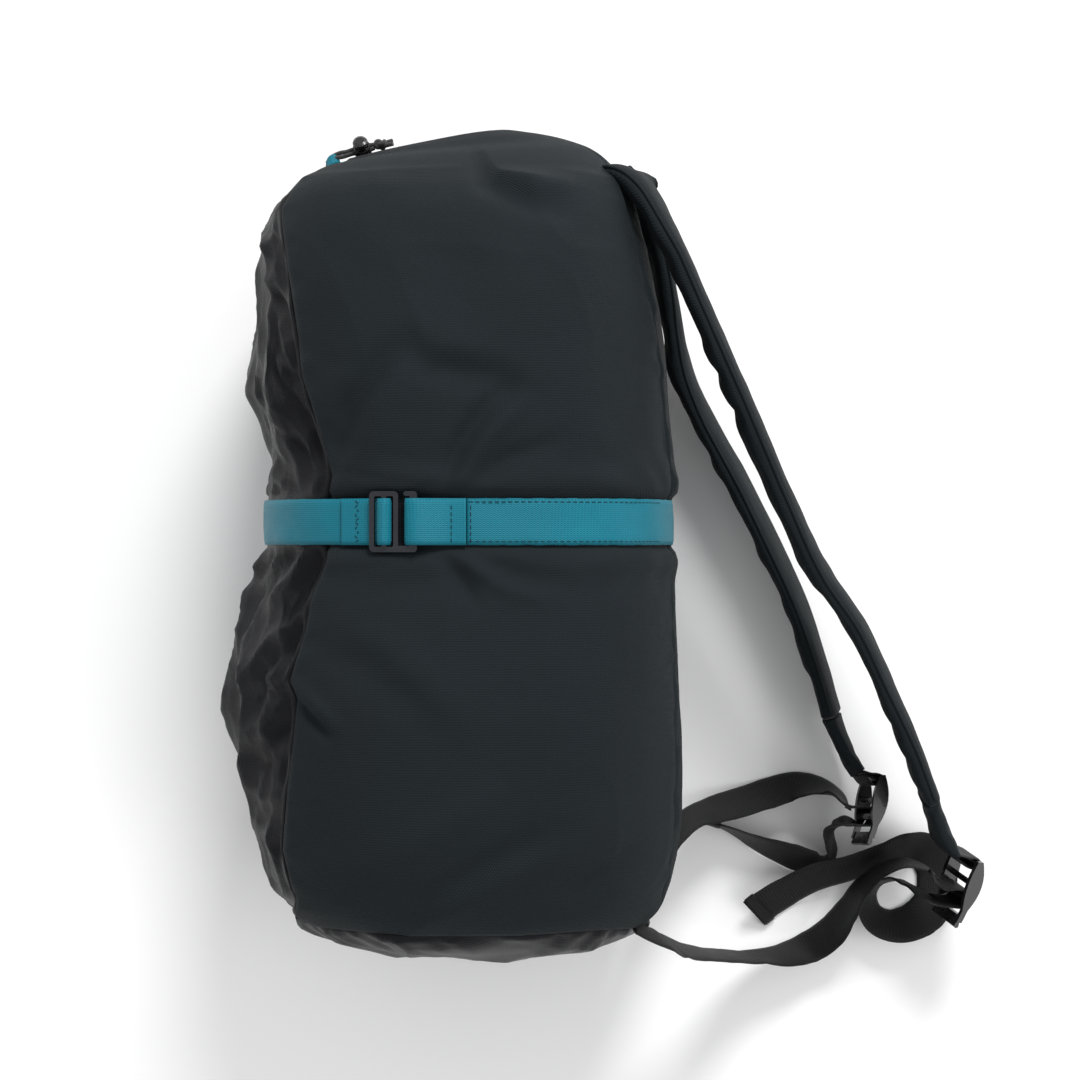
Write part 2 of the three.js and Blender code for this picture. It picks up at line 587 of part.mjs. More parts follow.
// Each strap: its sewn-in root, the padded part, its narrow end sleeve, the ladder lock's first
// bar with the lock's direction and lean, and the adjuster webbing before and after the lock.
const harness = {
  right: {
    root: [[103, 193.5, 149, 16], [106.6, 189.7, 150.6, 13], [109.2, 186, 151.8, 11]],
    pad: [
      [111.6, 182.4, 153, 10], [120, 166, 154, 8], [128, 151, 152.5, 6], [141.7, 120, 148, 5], [162.3, 75.6, 138.5, 5],
      [189, 19, 122, 7], [212.7, -27.3, 106, 9], [237.7, -62.7, 92, 10], [255.8, -98.7, 80, 8],
      [273.2, -135, 70, 6], [283.5, -162, 62, 4],
    ],
    sleeve: [[284.3, -164.2, 61.4, 4], [290, -180, 56, 0], [294, -190, 52, -6], [297.5, -197, 49, -10]],
    pivot: [310, -202.5, 46],
    lockAlong: [-0.19, -0.96, -0.15],
    lockLean: -20,
    run: [
      [120.5, -237, 144, 0], [127, -242.5, 126, -2], [141, -252, 90, -2], [161, -260.3, 53, 0],
      [181, -265.5, 28, 6], [201.7, -266.6, 16, 24], [217.5, -262.3, FLOOR, 42], [231.1, -251.8, 15, 40],
      [240.6, -237.2, 22, 25], [249, -222, 31, 15], [261, -210.5, 38, 8], [275, -206, 43, 5], [288, -211, 45, 2],
    ],
    tail: [
      [279, -222.5, 28, 0], [268.5, -219.5, 16, 8], [259, -222.6, FLOOR, 22], [253.6, -232.4, FLOOR, 34],
      [257.3, -243.5, FLOOR, 40], [269.1, -249.1, FLOOR, 44], [284, -246, FLOOR, 60], [294, -238, FLOOR, 80],
      [298, -226, FLOOR, 88], [297, -213, FLOOR, 86], [289, -203, FLOOR, 70], [276, -200.5, 14, 52],
      [262.6, -204.5, 19, 45], [241.6, -212.3, 18, 45], [220.7, -218.6, 13, 50], [202.6, -228.6, FLOOR, 55],
      [190.4, -236.3, FLOOR, 58], [183.6, -241.9, FLOOR, 60],
    ],
  },
  left: {
    root: [[105, 192.6, 73.5, -28], [107.8, 189.2, 72.6, -20], [110.4, 185.6, 71.3, -13]],
    pad: [
      [112.2, 182, 70, -12], [118, 163, 63, -7], [124, 144, 54.5, -2], [129.5, 124, 45, 3], [138.5, 90, 34, 7],
      [150.5, 63.6, 30, 10], [169.6, 30, 28.5, 12], [190.4, -11, 27.5, 13], [208.2, -49.6, 26.5, 13],
      [219.8, -83.3, 26, 12], [229.7, -117.4, 26, 11],
    ],
    sleeve: [[230.2, -119.4, 26, 11], [236, -134, 26, 7], [240, -143, 26.5, 0], [243, -149, 27, -8]],
    pivot: [255, -156.5, 30],
    lockAlong: [-0.05, -0.95, 0.12],
    lockLean: -12,
    run: [
      [118, -226, 66, 10], [123.5, -211, 56, 12], [131, -194, 45, 20], [143, -181.5, 32, 28], [156.6, -176.5, 22, 35],
      [174.2, -172.1, 15, 40], [192.9, -166.7, FLOOR, 42], [208.3, -162.4, FLOOR, 38], [221, -162.5, 18, 25],
      [231, -166, 27, 12],
    ],
    tail: [
      [232.5, -185, 30, 12], [230, -191, 22, 12], [230.5, -198, 14.5, 16], [230.5, -204, FLOOR, 24],
      [227, -208.5, FLOOR, 34], [218.5, -209.5, FLOOR, 42], [205.8, -205.3, FLOOR, 42], [192, -200, FLOOR, 32],
      [177.6, -193.3, FLOOR, 18], [165.2, -187.9, FLOOR, 10], [154.7, -184.4, FLOOR, 6],
    ],
  },
};

// The lock's own axes: x along its length from the bar that the strap holds, y through its
// thickness, and z along its bars.
function lockFrame({ pivot, lockAlong, lockLean }) {
  const along = new THREE.Vector3(...lockAlong).normalize();
  const bars = new THREE.Vector3(0, 0, 1).addScaledVector(along, -along.z).normalize()
    .applyAxisAngle(along, degToRad(lockLean));
  const group = new THREE.Group();
  group.matrix.makeBasis(along, bars.clone().cross(along), bars).setPosition(...pivot);
  group.matrixAutoUpdate = false;
  root.add(group);
  return group;
}

// Side of the lock: its rails bend back towards the sack, and are deepest near their middle.
const lockBend = (x) => -0.0045 * x * x;
const railHalf = (x) => LOCK_THICK / 2 + 3 * Math.max(0, 1 - ((x - 13) / 15) ** 2);
const LOCK_BARS = [[0, 2.1], [12.5, 2], [22.5, 2.3]]; // place along the lock and half width
const LOAD_SLOT = 17.3; // where the adjuster goes in, along the lock
const TAIL_SLOT = 28.3; // and where it comes out

function ladderLock() {
  const half = LOCK_WIDTH / 2;
  const along = Array.from({ length: 11 }, (_, i) => lerp(-2.6, LOCK_LENGTH - 4, i / 10));
  const rail = new THREE.Shape([
    ...along.map((x) => new THREE.Vector2(x, lockBend(x) - railHalf(x))),
    ...along.toReversed().map((x) => new THREE.Vector2(x, lockBend(x) + railHalf(x))),
  ]);
  const slab = (outline, depth, z) => new THREE.ExtrudeGeometry(outline, { depth, bevelEnabled: false })
    .translate(0, 0, z);
  const bar = ([x, r]) => slab(
    new THREE.Shape(new THREE.EllipseCurve(x, lockBend(x), r, LOCK_THICK / 2 - 0.3).getPoints(8).slice(0, 8)),
    LOCK_WIDTH - LOCK_RAIL, LOCK_RAIL / 2 - half,
  );
  const tab = new THREE.Shape([
    [-8, -1.1], [-4, -1.1], [-1, -2], [0, -0.6], [-0.6, 1], [-4, 1.2], [-8, 1.2],
  ].map(([x, y]) => new THREE.Vector2(LOCK_LENGTH + x, y + lockBend(LOCK_LENGTH + Math.min(x, -4)))));
  return joined([
    slab(rail, LOCK_RAIL, -half),
    slab(rail, LOCK_RAIL, half - LOCK_RAIL),
    ...LOCK_BARS.map(bar),
    slab(tab, LOCK_WIDTH - LOCK_RAIL, LOCK_RAIL / 2 - half),
  ]);
}

// A route point at the lock's slot for webbing that goes through it (way 1 is into the lock),
// leaning so that the webbing's width is along the bars.
function atLock(lock, x, y, way) {
  const [, thickness, bars] = [0, 1, 2].map((column) => (
    new THREE.Vector3().setFromMatrixColumn(lock.matrix, column)
  ));
  const tangent = thickness.multiplyScalar(way);
  const upright = new THREE.Vector3(0, 0, 1).addScaledVector(tangent, -tangent.z).normalize();
  const lean = Math.atan2(tangent.dot(upright.clone().cross(bars)), upright.dot(bars));
  return [...new THREE.Vector3(x, y, 0).applyMatrix4(lock.matrix).toArray(), radToDeg(lean)];
}

const alongBars = () => new THREE.Vector3(0, 0, 1);
const inLock = (points) => points.map(([x, y]) => new THREE.Vector3(x, y, 0));

// Webbing round the lock's first bar, with its two plies towards the sleeve.
function lockLoop() {
  return band({
    route: inLock([
      [-2.9, -9], [-3.2, -5], [-3.2, -1.5], [-2.2, 1.7], [0, 2.7], [2.2, 1.7], [3.2, -1.5], [3, -5], [1.9, -9],
    ]),
    thickness: 1.4, steps: 20, across: alongBars,
  });
}

// Webbing over the lock's third bar: in through one slot and out through the next.
function lockWrap() {
  return band({
    route: inLock([
      [LOAD_SLOT, -9], [LOAD_SLOT, -4.5], [LOAD_SLOT + 0.4, -1.2], [19.6, 0.6], [22.6, 1], [25.8, 0.1],
      [27.7, -2], [TAIL_SLOT, -5], [TAIL_SLOT, -9.5],
    ]),
    thickness: 1.2, steps: 20, across: alongBars,
  });
}

const inside = (wall) => padOutline(PAD_WIDTH - 2 * wall, PAD_THICK - 2 * wall);
const taper = (u) => lerp(1, 0.84, smoothstep(u, 0.15, 0.95));

for (const [side, strap] of Object.entries(harness)) {
  const pad = { points: strap.pad, steps: 20, scale: taper };
  add(`strap_root_${side}`, padded({ points: strap.root, steps: 3, outline: padOutline(44, 4) }), 'side');
  add(`shoulder_cover_${side}`, padded({
    ...pad, outline: padOutline(PAD_WIDTH, PAD_THICK), hole: inside(COVER),
  }), 'side');
  add(`shoulder_foam_${side}`, padded({ ...pad, outline: inside(COVER + 2 * GAP) }), 'foam');
  add(`strap_sleeve_${side}`, padded({
    points: strap.sleeve, steps: 6, outline: padOutline(SLEEVE_WIDTH, SLEEVE_THICK),
    hole: padOutline(SLEEVE_WIDTH - 2 * COVER, SLEEVE_THICK - 2 * COVER),
  }), 'side');

  const lock = lockFrame(strap);
  add(`ladder_lock_${side}`, ladderLock(), 'plastic', lock);
  add(`lock_loop_${side}`, lockLoop(), 'black', lock);
  add(`adjuster_wrap_${side}`, lockWrap(), 'black', lock);

  const run = [...strap.run, atLock(lock, LOAD_SLOT, -16, 1), atLock(lock, LOAD_SLOT, -9.6, 1)];
  const tail = [atLock(lock, TAIL_SLOT, -10.1, -1), atLock(lock, TAIL_SLOT, -16, -1), ...strap.tail];
  add(`adjuster_run_${side}`, band({ route: vectors(run), steps: 40, across: leaning(run) }), 'black');
  add(`adjuster_tail_${side}`, band({
    route: vectors(tail), steps: 2 * tail.length + 12, across: leaning(tail),
  }), 'black');
}
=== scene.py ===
# A packable stuff sack with shoulder straps, stuffed full and lying on its left side.
# Tables and routes are in millimetres, as in part.mjs; every mesh is made in metres.
import itertools
import math

import bpy
import numpy as np
from mathutils import Matrix, Vector


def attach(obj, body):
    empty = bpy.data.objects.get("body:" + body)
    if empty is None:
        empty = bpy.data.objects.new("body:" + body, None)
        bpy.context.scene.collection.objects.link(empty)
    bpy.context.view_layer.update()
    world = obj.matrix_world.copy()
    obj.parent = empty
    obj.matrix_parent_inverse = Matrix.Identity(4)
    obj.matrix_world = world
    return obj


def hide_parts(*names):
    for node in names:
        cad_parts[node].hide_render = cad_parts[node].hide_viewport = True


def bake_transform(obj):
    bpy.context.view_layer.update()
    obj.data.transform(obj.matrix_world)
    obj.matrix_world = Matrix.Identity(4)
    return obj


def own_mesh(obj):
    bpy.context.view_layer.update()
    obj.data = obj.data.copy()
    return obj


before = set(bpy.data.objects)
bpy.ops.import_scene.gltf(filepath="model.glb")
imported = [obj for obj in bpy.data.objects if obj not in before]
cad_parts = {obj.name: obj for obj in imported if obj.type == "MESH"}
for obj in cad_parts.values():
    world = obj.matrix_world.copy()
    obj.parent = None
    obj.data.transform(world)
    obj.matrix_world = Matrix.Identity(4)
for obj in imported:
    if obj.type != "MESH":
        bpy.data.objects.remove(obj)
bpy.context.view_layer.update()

MM = 0.001
bpy.context.scene.view_settings.view_transform = "Standard"

# ---------------------------------------------------------------- camera
camera_data = bpy.data.cameras.new("camera")
camera_data.lens = 85.5
camera_data.sensor_width = 36
camera = bpy.data.objects.new("camera", camera_data)
camera.location = (0.0508, -0.0098, 1.6)
bpy.context.collection.objects.link(camera)
bpy.context.scene.camera = camera

# ---------------------------------------------------------------- noise
TABLES = {}


def noise(points, scale, seed):
    """Smooth noise from -1 to 1 with features about scale across (one number or one per axis)."""
    if seed not in TABLES:
        TABLES[seed] = np.random.RandomState(seed).rand(32, 32, 32) * 2 - 1
    table = TABLES[seed]
    q = np.asarray(points, float) / np.asarray(scale, float)
    cell = np.floor(q).astype(int)
    f = q - cell
    f = f * f * f * (f * (f * 6 - 15) + 10)
    total = np.zeros(q.shape[:-1])
    for corner in itertools.product((0, 1), repeat=3):
        i, j, k = [(cell[..., a] + corner[a]) % 32 for a in range(3)]
        weight = np.prod([f[..., a] if corner[a] else 1 - f[..., a] for a in range(3)], axis=0)
        total += weight * table[i, j, k]
    return total


def ridges(points, scale, seed, sharp=2.0):
    """Noise with crisp crests, from 0 to 1."""
    return (1 - np.abs(noise(points, scale, seed))) ** sharp


def facets(points, spacing, seed, height):
    """Flat-bottomed dents that meet at crisp crests, as crumpled thin cloth has them."""
    random = np.random.RandomState(seed)
    low, high = points[..., :2].reshape(-1, 2).min(axis=0), points[..., :2].reshape(-1, 2).max(axis=0)
    spacing = np.asarray(spacing, float)
    count = (np.ceil((high - low) / spacing) + 1).astype(int)
    lowest = np.full(points.shape[:-1], 1e9)
    for i, j in itertools.product(range(count[0]), range(count[1])):
        centre = low + (np.array([i, j]) + random.uniform(-0.15, 1.15, 2) - 0.5) * spacing
        slope, base = random.uniform(-0.9, 0.9, 2), random.uniform(0, 0.5)
        away = (points[..., :2] - centre) / spacing
        lowest = np.minimum(lowest, base + (away * away).sum(axis=-1) * 1.6 + away @ slope)
    return (lowest - 0.35) * height


def smoothstep(x, low, high):
    t = np.clip((x - low) / (high - low), 0, 1)
    return t * t * (3 - 2 * t)


# ---------------------------------------------------------------- materials
class Nodes:
    """A material being built; made nodes are linked by assigning sockets."""

    def __init__(self, name):
        self.material = bpy.data.materials.new(name)
        self.material.use_nodes = True
        self.tree = self.material.node_tree
        self.shader = self.tree.nodes["Principled BSDF"]

    def add(self, kind, inputs=(), **settings):
        node = self.tree.nodes.new("ShaderNode" + kind)
        for key, value in settings.items():
            setattr(node, key, value)
        for key, value in dict(inputs).items():
            self.set(node.inputs[key], value)
        return node

    def set(self, socket, value):
        if isinstance(value, bpy.types.NodeSocket):
            self.tree.links.new(value, socket)
        else:
            socket.default_value = value

    def math(self, operation, a, b=0.0):
        return self.add("Math", {0: a, 1: b}, operation=operation).outputs[0]

    def mix(self, factor, a, b):
        node = self.add("Mix", data_type="RGBA")
        self.set(node.inputs[0], factor)
        self.set(node.inputs[6], a)
        self.set(node.inputs[7], b)
        return node.outputs[2]

    def bump(self, height, distance, strength=1.0, normal=None):
        node = self.add("Bump", {"Height": height, "Distance": distance, "Strength": strength})
        if normal is not None:
            self.set(node.inputs["Normal"], normal)
        return node.outputs["Normal"]

    def finish(self, **values):
        for key, value in values.items():
            self.set(self.shader.inputs[key.replace("_", " ")], value)
        return self.material


def rgb(r, g, b):
    """An sRGB colour from 0 to 255 as linear RGBA."""
    linear = [c / 255 / 12.92 if c < 10.3 else ((c / 255 + 0.055) / 1.055) ** 2.4 for c in (r, g, b)]
    return (*linear, 1)


def shade(color, factor):
    return tuple(min(c * factor, 1) for c in color[:3]) + (1,)


def woven(name, color, roughness, sheen, yarn, twill, crumple, specular=0.5, spread=0.35):
    """Plain or twill cloth. yarn is the yarn spacing in metres, on the piece's UV map in metres."""
    m = Nodes(name)
    uv = m.add("UVMap").outputs[0]
    place = m.add("TexCoord").outputs["Object"]
    turn = m.add("Mapping", {"Vector": uv, "Rotation": (0, 0, math.radians(twill))}).outputs[0]
    warp = m.add("TexWave", {"Vector": turn, "Scale": 0.314 / yarn, "Distortion": 0.6, "Detail": 1,
                             "Detail Scale": 2.0}, bands_direction="X").outputs["Fac"]
    weft = m.add("TexWave", {"Vector": uv, "Scale": 0.314 / yarn * 0.8, "Distortion": 0.6, "Detail": 1},
                 bands_direction="Y").outputs["Fac"]
    yarns = m.math("ADD", m.math("MULTIPLY", warp, 0.65), m.math("MULTIPLY", weft, 0.35))
    blotch = m.add("TexNoise", {"Vector": place, "Scale": 14, "Detail": 5, "Roughness": 0.6}).outputs["Fac"]
    fine = m.add("TexNoise", {"Vector": place, "Scale": 900, "Detail": 2}).outputs["Fac"]
    tone = m.math("ADD", m.math("MULTIPLY", yarns, 0.45), m.math("MULTIPLY", blotch, 0.4))
    tone = m.math("ADD", tone, m.math("MULTIPLY", fine, 0.15))
    base = m.mix(tone, shade(color, 1 - spread), shade(color, 1 + spread))
    creases = m.add("TexNoise", {"Vector": place, "Scale": 60, "Detail": 4, "Roughness": 0.55}).outputs["Fac"]
    normal = m.bump(creases, crumple)
    normal = m.bump(yarns, yarn * 0.35, 0.8, normal)
    rough = m.add("MapRange", {"Value": blotch, "To Min": roughness - 0.06, "To Max": roughness + 0.06})
    m.finish(Base_Color=base, Roughness=rough.outputs[0], Normal=normal, Sheen_Weight=sheen,
             Sheen_Roughness=0.4, Specular_IOR_Level=specular)
    return m.material


def webbing(name, color, roughness, sheen, rib=0.0011, spread=0.3, specular=0.2):
    """Ribbed webbing: UV U runs along the strap and V across it, both in metres."""
    m = Nodes(name)
    uv = m.add("UVMap").outputs[0]
    place = m.add("TexCoord").outputs["Object"]
    rows = m.add("TexWave", {"Vector": uv, "Scale": 0.314 / rib, "Distortion": 0.3, "Detail": 1},
                 bands_direction="Y").outputs["Fac"]
    turn = m.add("Mapping", {"Vector": uv, "Rotation": (0, 0, math.radians(58))}).outputs[0]
    slant = m.add("TexWave", {"Vector": turn, "Scale": 0.314 / rib * 1.15, "Distortion": 0.4, "Detail": 1},
                  bands_direction="X").outputs["Fac"]
    weave = m.math("ADD", m.math("MULTIPLY", rows, 0.45), m.math("MULTIPLY", slant, 0.55))
    blotch = m.add("TexNoise", {"Vector": place, "Scale": 30, "Detail": 4}).outputs["Fac"]
    tone = m.math("ADD", m.math("MULTIPLY", weave, 0.6), m.math("MULTIPLY", blotch, 0.4))
    base = m.mix(tone, shade(color, 1 - spread), shade(color, 1 + spread))
    normal = m.bump(weave, rib * 0.3, 0.9)
    m.finish(Base_Color=base, Roughness=roughness, Normal=normal, Sheen_Weight=sheen, Sheen_Roughness=0.35,
             Specular_IOR_Level=specular)
    return m.material


def moulded(name, color, roughness, metallic=0.0, grain=700, depth=0.00004, coat=0.0):
    """Moulded plastic or blasted metal, with a fine grain and slightly worn tone."""
    m = Nodes(name)
    place = m.add("TexCoord").outputs["Object"]
    fine = m.add("TexNoise", {"Vector": place, "Scale": grain, "Detail": 3}).outputs["Fac"]
    wide = m.add("TexNoise", {"Vector": place, "Scale": 90, "Detail": 3}).outputs["Fac"]
    base = m.mix(wide, shade(color, 0.8), shade(color, 1.25))
    rough = m.add("MapRange", {"Value": wide, "To Min": roughness - 0.06, "To Max": roughness + 0.08})
    m.finish(Base_Color=base, Roughness=rough.outputs[0], Normal=m.bump(fine, depth), Metallic=metallic,
             Coat_Weight=coat)
    return m.material


def cord_sheath(name, color):
    """Braided cord, on the object's own coordinates."""
    m = Nodes(name)
    place = m.add("TexCoord").outputs["Object"]
    braid = m.add("TexVoronoi", {"Vector": place, "Scale": 1300}).outputs["Distance"]
    wide = m.add("TexNoise", {"Vector": place, "Scale": 200, "Detail": 2}).outputs["Fac"]
    base = m.mix(m.math("MULTIPLY", braid, wide), shade(color, 1.6), shade(color, 0.5))
    m.finish(Base_Color=base, Roughness=0.75, Normal=m.bump(braid, 0.0002), Sheen_Weight=0.3)
    return m.material


CHARCOAL = rgb(26, 32, 35)
INK = rgb(9, 10, 15)
BLACK = rgb(14, 14, 16)
TEAL = rgb(12, 108, 126)

ripstop = woven("ripstop", CHARCOAL, 0.7, 0.012, 0.0011, 45, 0.0005, specular=0.1)
pad_cloth = woven("pad_cloth", shade(CHARCOAL, 0.85), 0.72, 0.012, 0.0011, 45, 0.0004, specular=0.1)
thin_nylon = woven("thin_nylon", INK, 0.36, 0.0, 0.0007, 0, 0.0006, specular=0.15)
tape_cloth = woven("tape_cloth", BLACK, 0.8, 0.0, 0.0009, 0, 0.0002, specular=0.1)
foam_skin = woven("foam_skin", rgb(58, 58, 60), 0.95, 0.1, 0.0012, 0, 0.0003)
teal_webbing = webbing("teal_webbing", TEAL, 0.5, 0.05)
teal_thread = webbing("teal_thread", rgb(6, 44, 58), 0.6, 0.05, rib=0.0004)
black_webbing = webbing("black_webbing", BLACK, 0.5, 0.02, spread=0.6, specular=0.25)
hook_metal = moulded("hook_metal", rgb(58, 60, 64), 0.34, metallic=0.85)
lock_plastic = moulded("lock_plastic", rgb(20, 20, 22), 0.26, coat=0.3)
spring_steel = moulded("spring_steel", rgb(160, 162, 166), 0.3, metallic=1.0)
cord_cloth = cord_sheath("cord_cloth", rgb(26, 26, 28))


# ---------------------------------------------------------------- mesh making
def obj_from(name, points, faces, material, uv=None, smooth=True):
    """Points in millimetres, uv one pair in metres per point."""
    mesh = bpy.data.meshes.new(name)
    mesh.from_pydata((np.asarray(points) * MM).tolist(), [], [list(map(int, face)) for face in faces])
    mesh.update()
    if uv is not None:
        layer = mesh.uv_layers.new(name="UVMap")
        order = np.empty(len(mesh.loops), dtype=int)
        mesh.loops.foreach_get("vertex_index", order)
        layer.data.foreach_set("uv", np.asarray(uv, float)[order].ravel())
    mesh.polygons.foreach_set("use_smooth", [smooth] * len(mesh.polygons))
    mesh.materials.append(material)
    made = bpy.data.objects.new(name, mesh)
    bpy.context.collection.objects.link(made)
    return made


def place(piece, body, slot, *nodes):
    """Body is a body's name, or (body_a, body_b, start, end) in millimetres for a piece between two bodies;
    such a piece is only left where it lies, with its transform baked in.
    """
    if isinstance(body, str):
        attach(piece, body)
    else:
        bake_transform(piece)
    if nodes:
        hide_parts(*nodes)
    return piece


def grid_faces(rows, columns, closed=False, flip=False):
    span = columns if closed else columns - 1
    j, i = np.meshgrid(np.arange(rows - 1), np.arange(span), indexing="ij")
    k = (i + 1) % columns
    low, high = j * columns, (j + 1) * columns
    quads = np.stack([low + i, low + k, high + k, high + i], axis=-1).reshape(-1, 4)
    return quads[:, ::-1] if flip else quads


def modify(piece, kind, **settings):
    modifier = piece.modifiers.new(kind.lower(), kind)
    for key, value in settings.items():
        setattr(modifier, key, value)
    return modifier


# ---------------------------------------------------------------- the sack's surface
RIBS = np.array([
    [-248, 0, 16, 16, 118, 118], [-246.5, 0, -17, 55, 84, 152], [-239.5, 0, -62, 92, 54, 183],
    [-228, 0, -86, 111, 34, 203], [-217, 0, -101, 120, 20, 215], [-201, 0, -110, 125, 8, 224],
    [-176, 0, -117, 130, -3, 231], [-132, 0, -126, 131, -8, 236], [-96, 0, -131, 131, -9, 238],
    [-51, 0, -120, 130, -9, 236], [0, 0, -108, 128.5, -8, 230], [38, 0, -109, 127, -8, 232],
    [77, 0, -117, 123.5, -8, 234], [118, 0, -115, 119, -5, 232], [157, 0, -114, 111, 3, 224],
    [179, 0.01, -108, 106, 13, 213], [193, 0.03, -100, 100, 28, 199], [205, 0.06, -84, 88, 48, 181],
    [211, 0.09, -70, 74, 68, 166], [215, 0.14, -66, 52, 80, 156], [216, 0.2, -64, 26, 90, 146],
    [209, 0.13, -62, -3, 96, 140], [198, 0.05, -61, -23, 99, 137],
])
SIDE_POWER = 0.8
FRONT_POWER = 0.85
BACK_POWER = 0.55
BOTTOM_SEAM = 3.3
MOUTH_SEAM = 22
BELT_STATION = 10
GROOVE_HALF = 13.3
SEAM_TUCK = 2.3
TAPE_DEPTH = 4.6
TAPE_TOP = 165
HIGHEST_RISE = 6
LOCK_ROOM, LOCK_ROOM_Y = 6.8, (180, 198)  # the cloth stays lower beside the cord lock
MOUTH_PLEATS = 2.4


def rib(station):
    s = np.asarray(station, float)
    i = np.clip(np.floor(s).astype(int), 0, len(RIBS) - 2)
    f = (s - i)[..., None]
    p0, p1, p2, p3 = [RIBS[np.clip(i + k, 0, len(RIBS) - 1)] for k in (-1, 0, 1, 2)]
    m1, m2 = (p2 - p0) / 2, (p3 - p1) / 2
    f2, f3 = f * f, f * f * f
    row = (2 * f3 - 3 * f2 + 1) * p1 + (f3 - 2 * f2 + f) * m1 + (3 * f2 - 2 * f3) * p2 + (f3 - f2) * m2
    y, tilt, front, back, low, high = np.moveaxis(row, -1, 0)
    return y, tilt, np.stack([(front + back) / 2, (low + high) / 2, (back - front) / 2, (high - low) / 2])


def signed_power(value, power):
    return np.sign(value) * np.abs(value) ** power


def skin(station, angle):
    """Undented outside of the sack. The angle is in degrees, from the back over the right side."""
    y, tilt, shape = rib(station)
    waist = rib(np.full_like(np.asarray(station, float), BELT_STATION))[2]
    pull = 1 - smoothstep(np.abs(y), GROOVE_HALF + 0.5, 45)
    x0, z0, half_x, half_z = shape + (waist - shape) * pull
    c, s = np.cos(np.radians(angle)), np.sin(np.radians(angle))
    dx = half_x * np.where(c < 0, signed_power(c, FRONT_POWER), signed_power(c, BACK_POWER))
    z = z0 + half_z * signed_power(s, SIDE_POWER)
    return np.stack([x0 + dx, y + tilt * dx, np.maximum(z, 0)], axis=-1)


# Where the front seam runs on the upper side: height along the sack and x.
FRONT_SEAM = np.array([
    [-228, -74], [-203, -87], [-180, -92], [-146, -88], [-120, -84], [-95, -81], [-86, -86], [-58, -77],
    [-35, -74], [-20, -69], [25, -63], [65, -75], [80, -80], [100, -82], [140, -89], [176, -95], [193, -90],
])


def front_seam(station):
    station = np.asarray(station, float)
    plain = 122 + 20 * (rib(station)[0] / 175) ** 2
    y, _, shape = rib(station)
    x = np.interp(y, FRONT_SEAM[:, 0], FRONT_SEAM[:, 1])
    c = np.clip((shape[0] - x) / shape[2], 0.05, 0.97)
    seen = 180 - np.degrees(np.arccos(c ** (1 / FRONT_POWER)))
    trust = smoothstep(y, -226, -205) * (1 - smoothstep(y, 170, 190))
    return plain + (seen - plain) * trust


def back_seam(station):
    return 19 + 9 * smoothstep(rib(np.asarray(station, float))[0], 90, 180)


def even_stations(low, high, spacing):
    fine = np.linspace(low, high, int((high - low) * 60))
    around = np.linspace(0, 345, 24)
    loops = skin(fine[:, None], around[None, :])
    steps = np.linalg.norm(np.diff(loops, axis=0), axis=2).max(axis=1)
    reach = np.concatenate([[0], np.cumsum(steps)])
    return np.interp(np.linspace(0, reach[-1], int(reach[-1] / spacing) + 2), reach, fine)


def close_angles(low, high):
    """Angles from low to high, much closer where the section's curve is fastest, at its top and bottom."""
    near = np.geomspace(1e-6, 4, 90)
    poles = np.concatenate([pole + side * near for pole in (90, 270) for side in (-1, 1)])
    plain = low + (high - low) * np.linspace(0, 1, 241)
    return np.sort(np.clip(np.concatenate([plain, poles]), low, high))


class Surface:
    """A patch of the sack between two seams, as an even grid with its distances from the edges."""

    def __init__(self, stations, start, end, columns):
        low, high = start(stations), end(stations)
        fine = np.array([close_angles(a, b) for a, b in zip(low, high)])
        loops = skin(stations[:, None], fine)
        reach = np.zeros(fine.shape)
        reach[:, 1:] = np.cumsum(np.linalg.norm(np.diff(loops, axis=1), axis=2), axis=1)
        self.angles = np.array([
            np.interp(np.linspace(0, r[-1], columns), r, a) for r, a in zip(reach, fine)
        ])
        self.points = skin(stations[:, None], self.angles)
        self.width = reach[:, -1:]
        self.from_start = np.linspace(0, 1, columns)[None, :] * self.width
        self.from_end = self.width - self.from_start
        down = np.linalg.norm(np.diff(self.points, axis=0), axis=2).mean(axis=1)
        self.along = np.concatenate([[0], np.cumsum(down)])[:, None] + np.zeros((1, columns))
        gy = np.gradient(self.points, axis=0)
        gx = np.gradient(self.points, axis=1)
        normal = np.cross(gy, gx)
        normal /= np.maximum(np.linalg.norm(normal, axis=2, keepdims=True), 1e-9)
        inner = np.array([0, 0, 110.0])
        middle = normal[len(stations) // 2, columns // 2]
        if np.dot(middle, self.points[len(stations) // 2, columns // 2] - inner) < 0:
            normal = -normal
        self.normal = normal

    @property
    def y(self):
        return self.points[..., 1]

    @property
    def edge(self):
        return np.minimum(self.from_start, self.from_end)

    def cloth(self):
        """Coordinates along the cloth for noise: across, along and nothing."""
        return np.stack([self.from_start, self.along, np.zeros_like(self.along)], axis=-1)


def groove(y, depth=2.3, edge=3.5):
    return depth * np.clip((GROOVE_HALF + edge - np.abs(y)) / edge, 0, 1)


def fold(points, line, width, height, sharp=1.0):
    """A fold along a polyline of (a, b) in the plane of the first two coordinates of points."""
    best = np.full(points.shape[:-1], 1e9)
    place_on = np.zeros(points.shape[:-1])
    line = np.asarray(line, float)
    lengths = np.linalg.norm(np.diff(line, axis=0), axis=1)
    total, done = lengths.sum(), 0.0
    for a, b, length in zip(line, line[1:], lengths):
        t = np.clip(((points[..., :2] - a) @ (b - a)) / length ** 2, 0, 1)
        d = np.linalg.norm(points[..., :2] - (a + t[..., None] * (b - a)), axis=-1)
        nearer = d < best
        best = np.where(nearer, d, best)
        place_on = np.where(nearer, (done + t * length) / total, place_on)
        done += length
    fade = np.sin(np.pi * np.clip(place_on * 0.92 + 0.04, 0, 1)) ** 0.7
    return height * fade * np.exp(-(best / width) ** (2 / sharp))


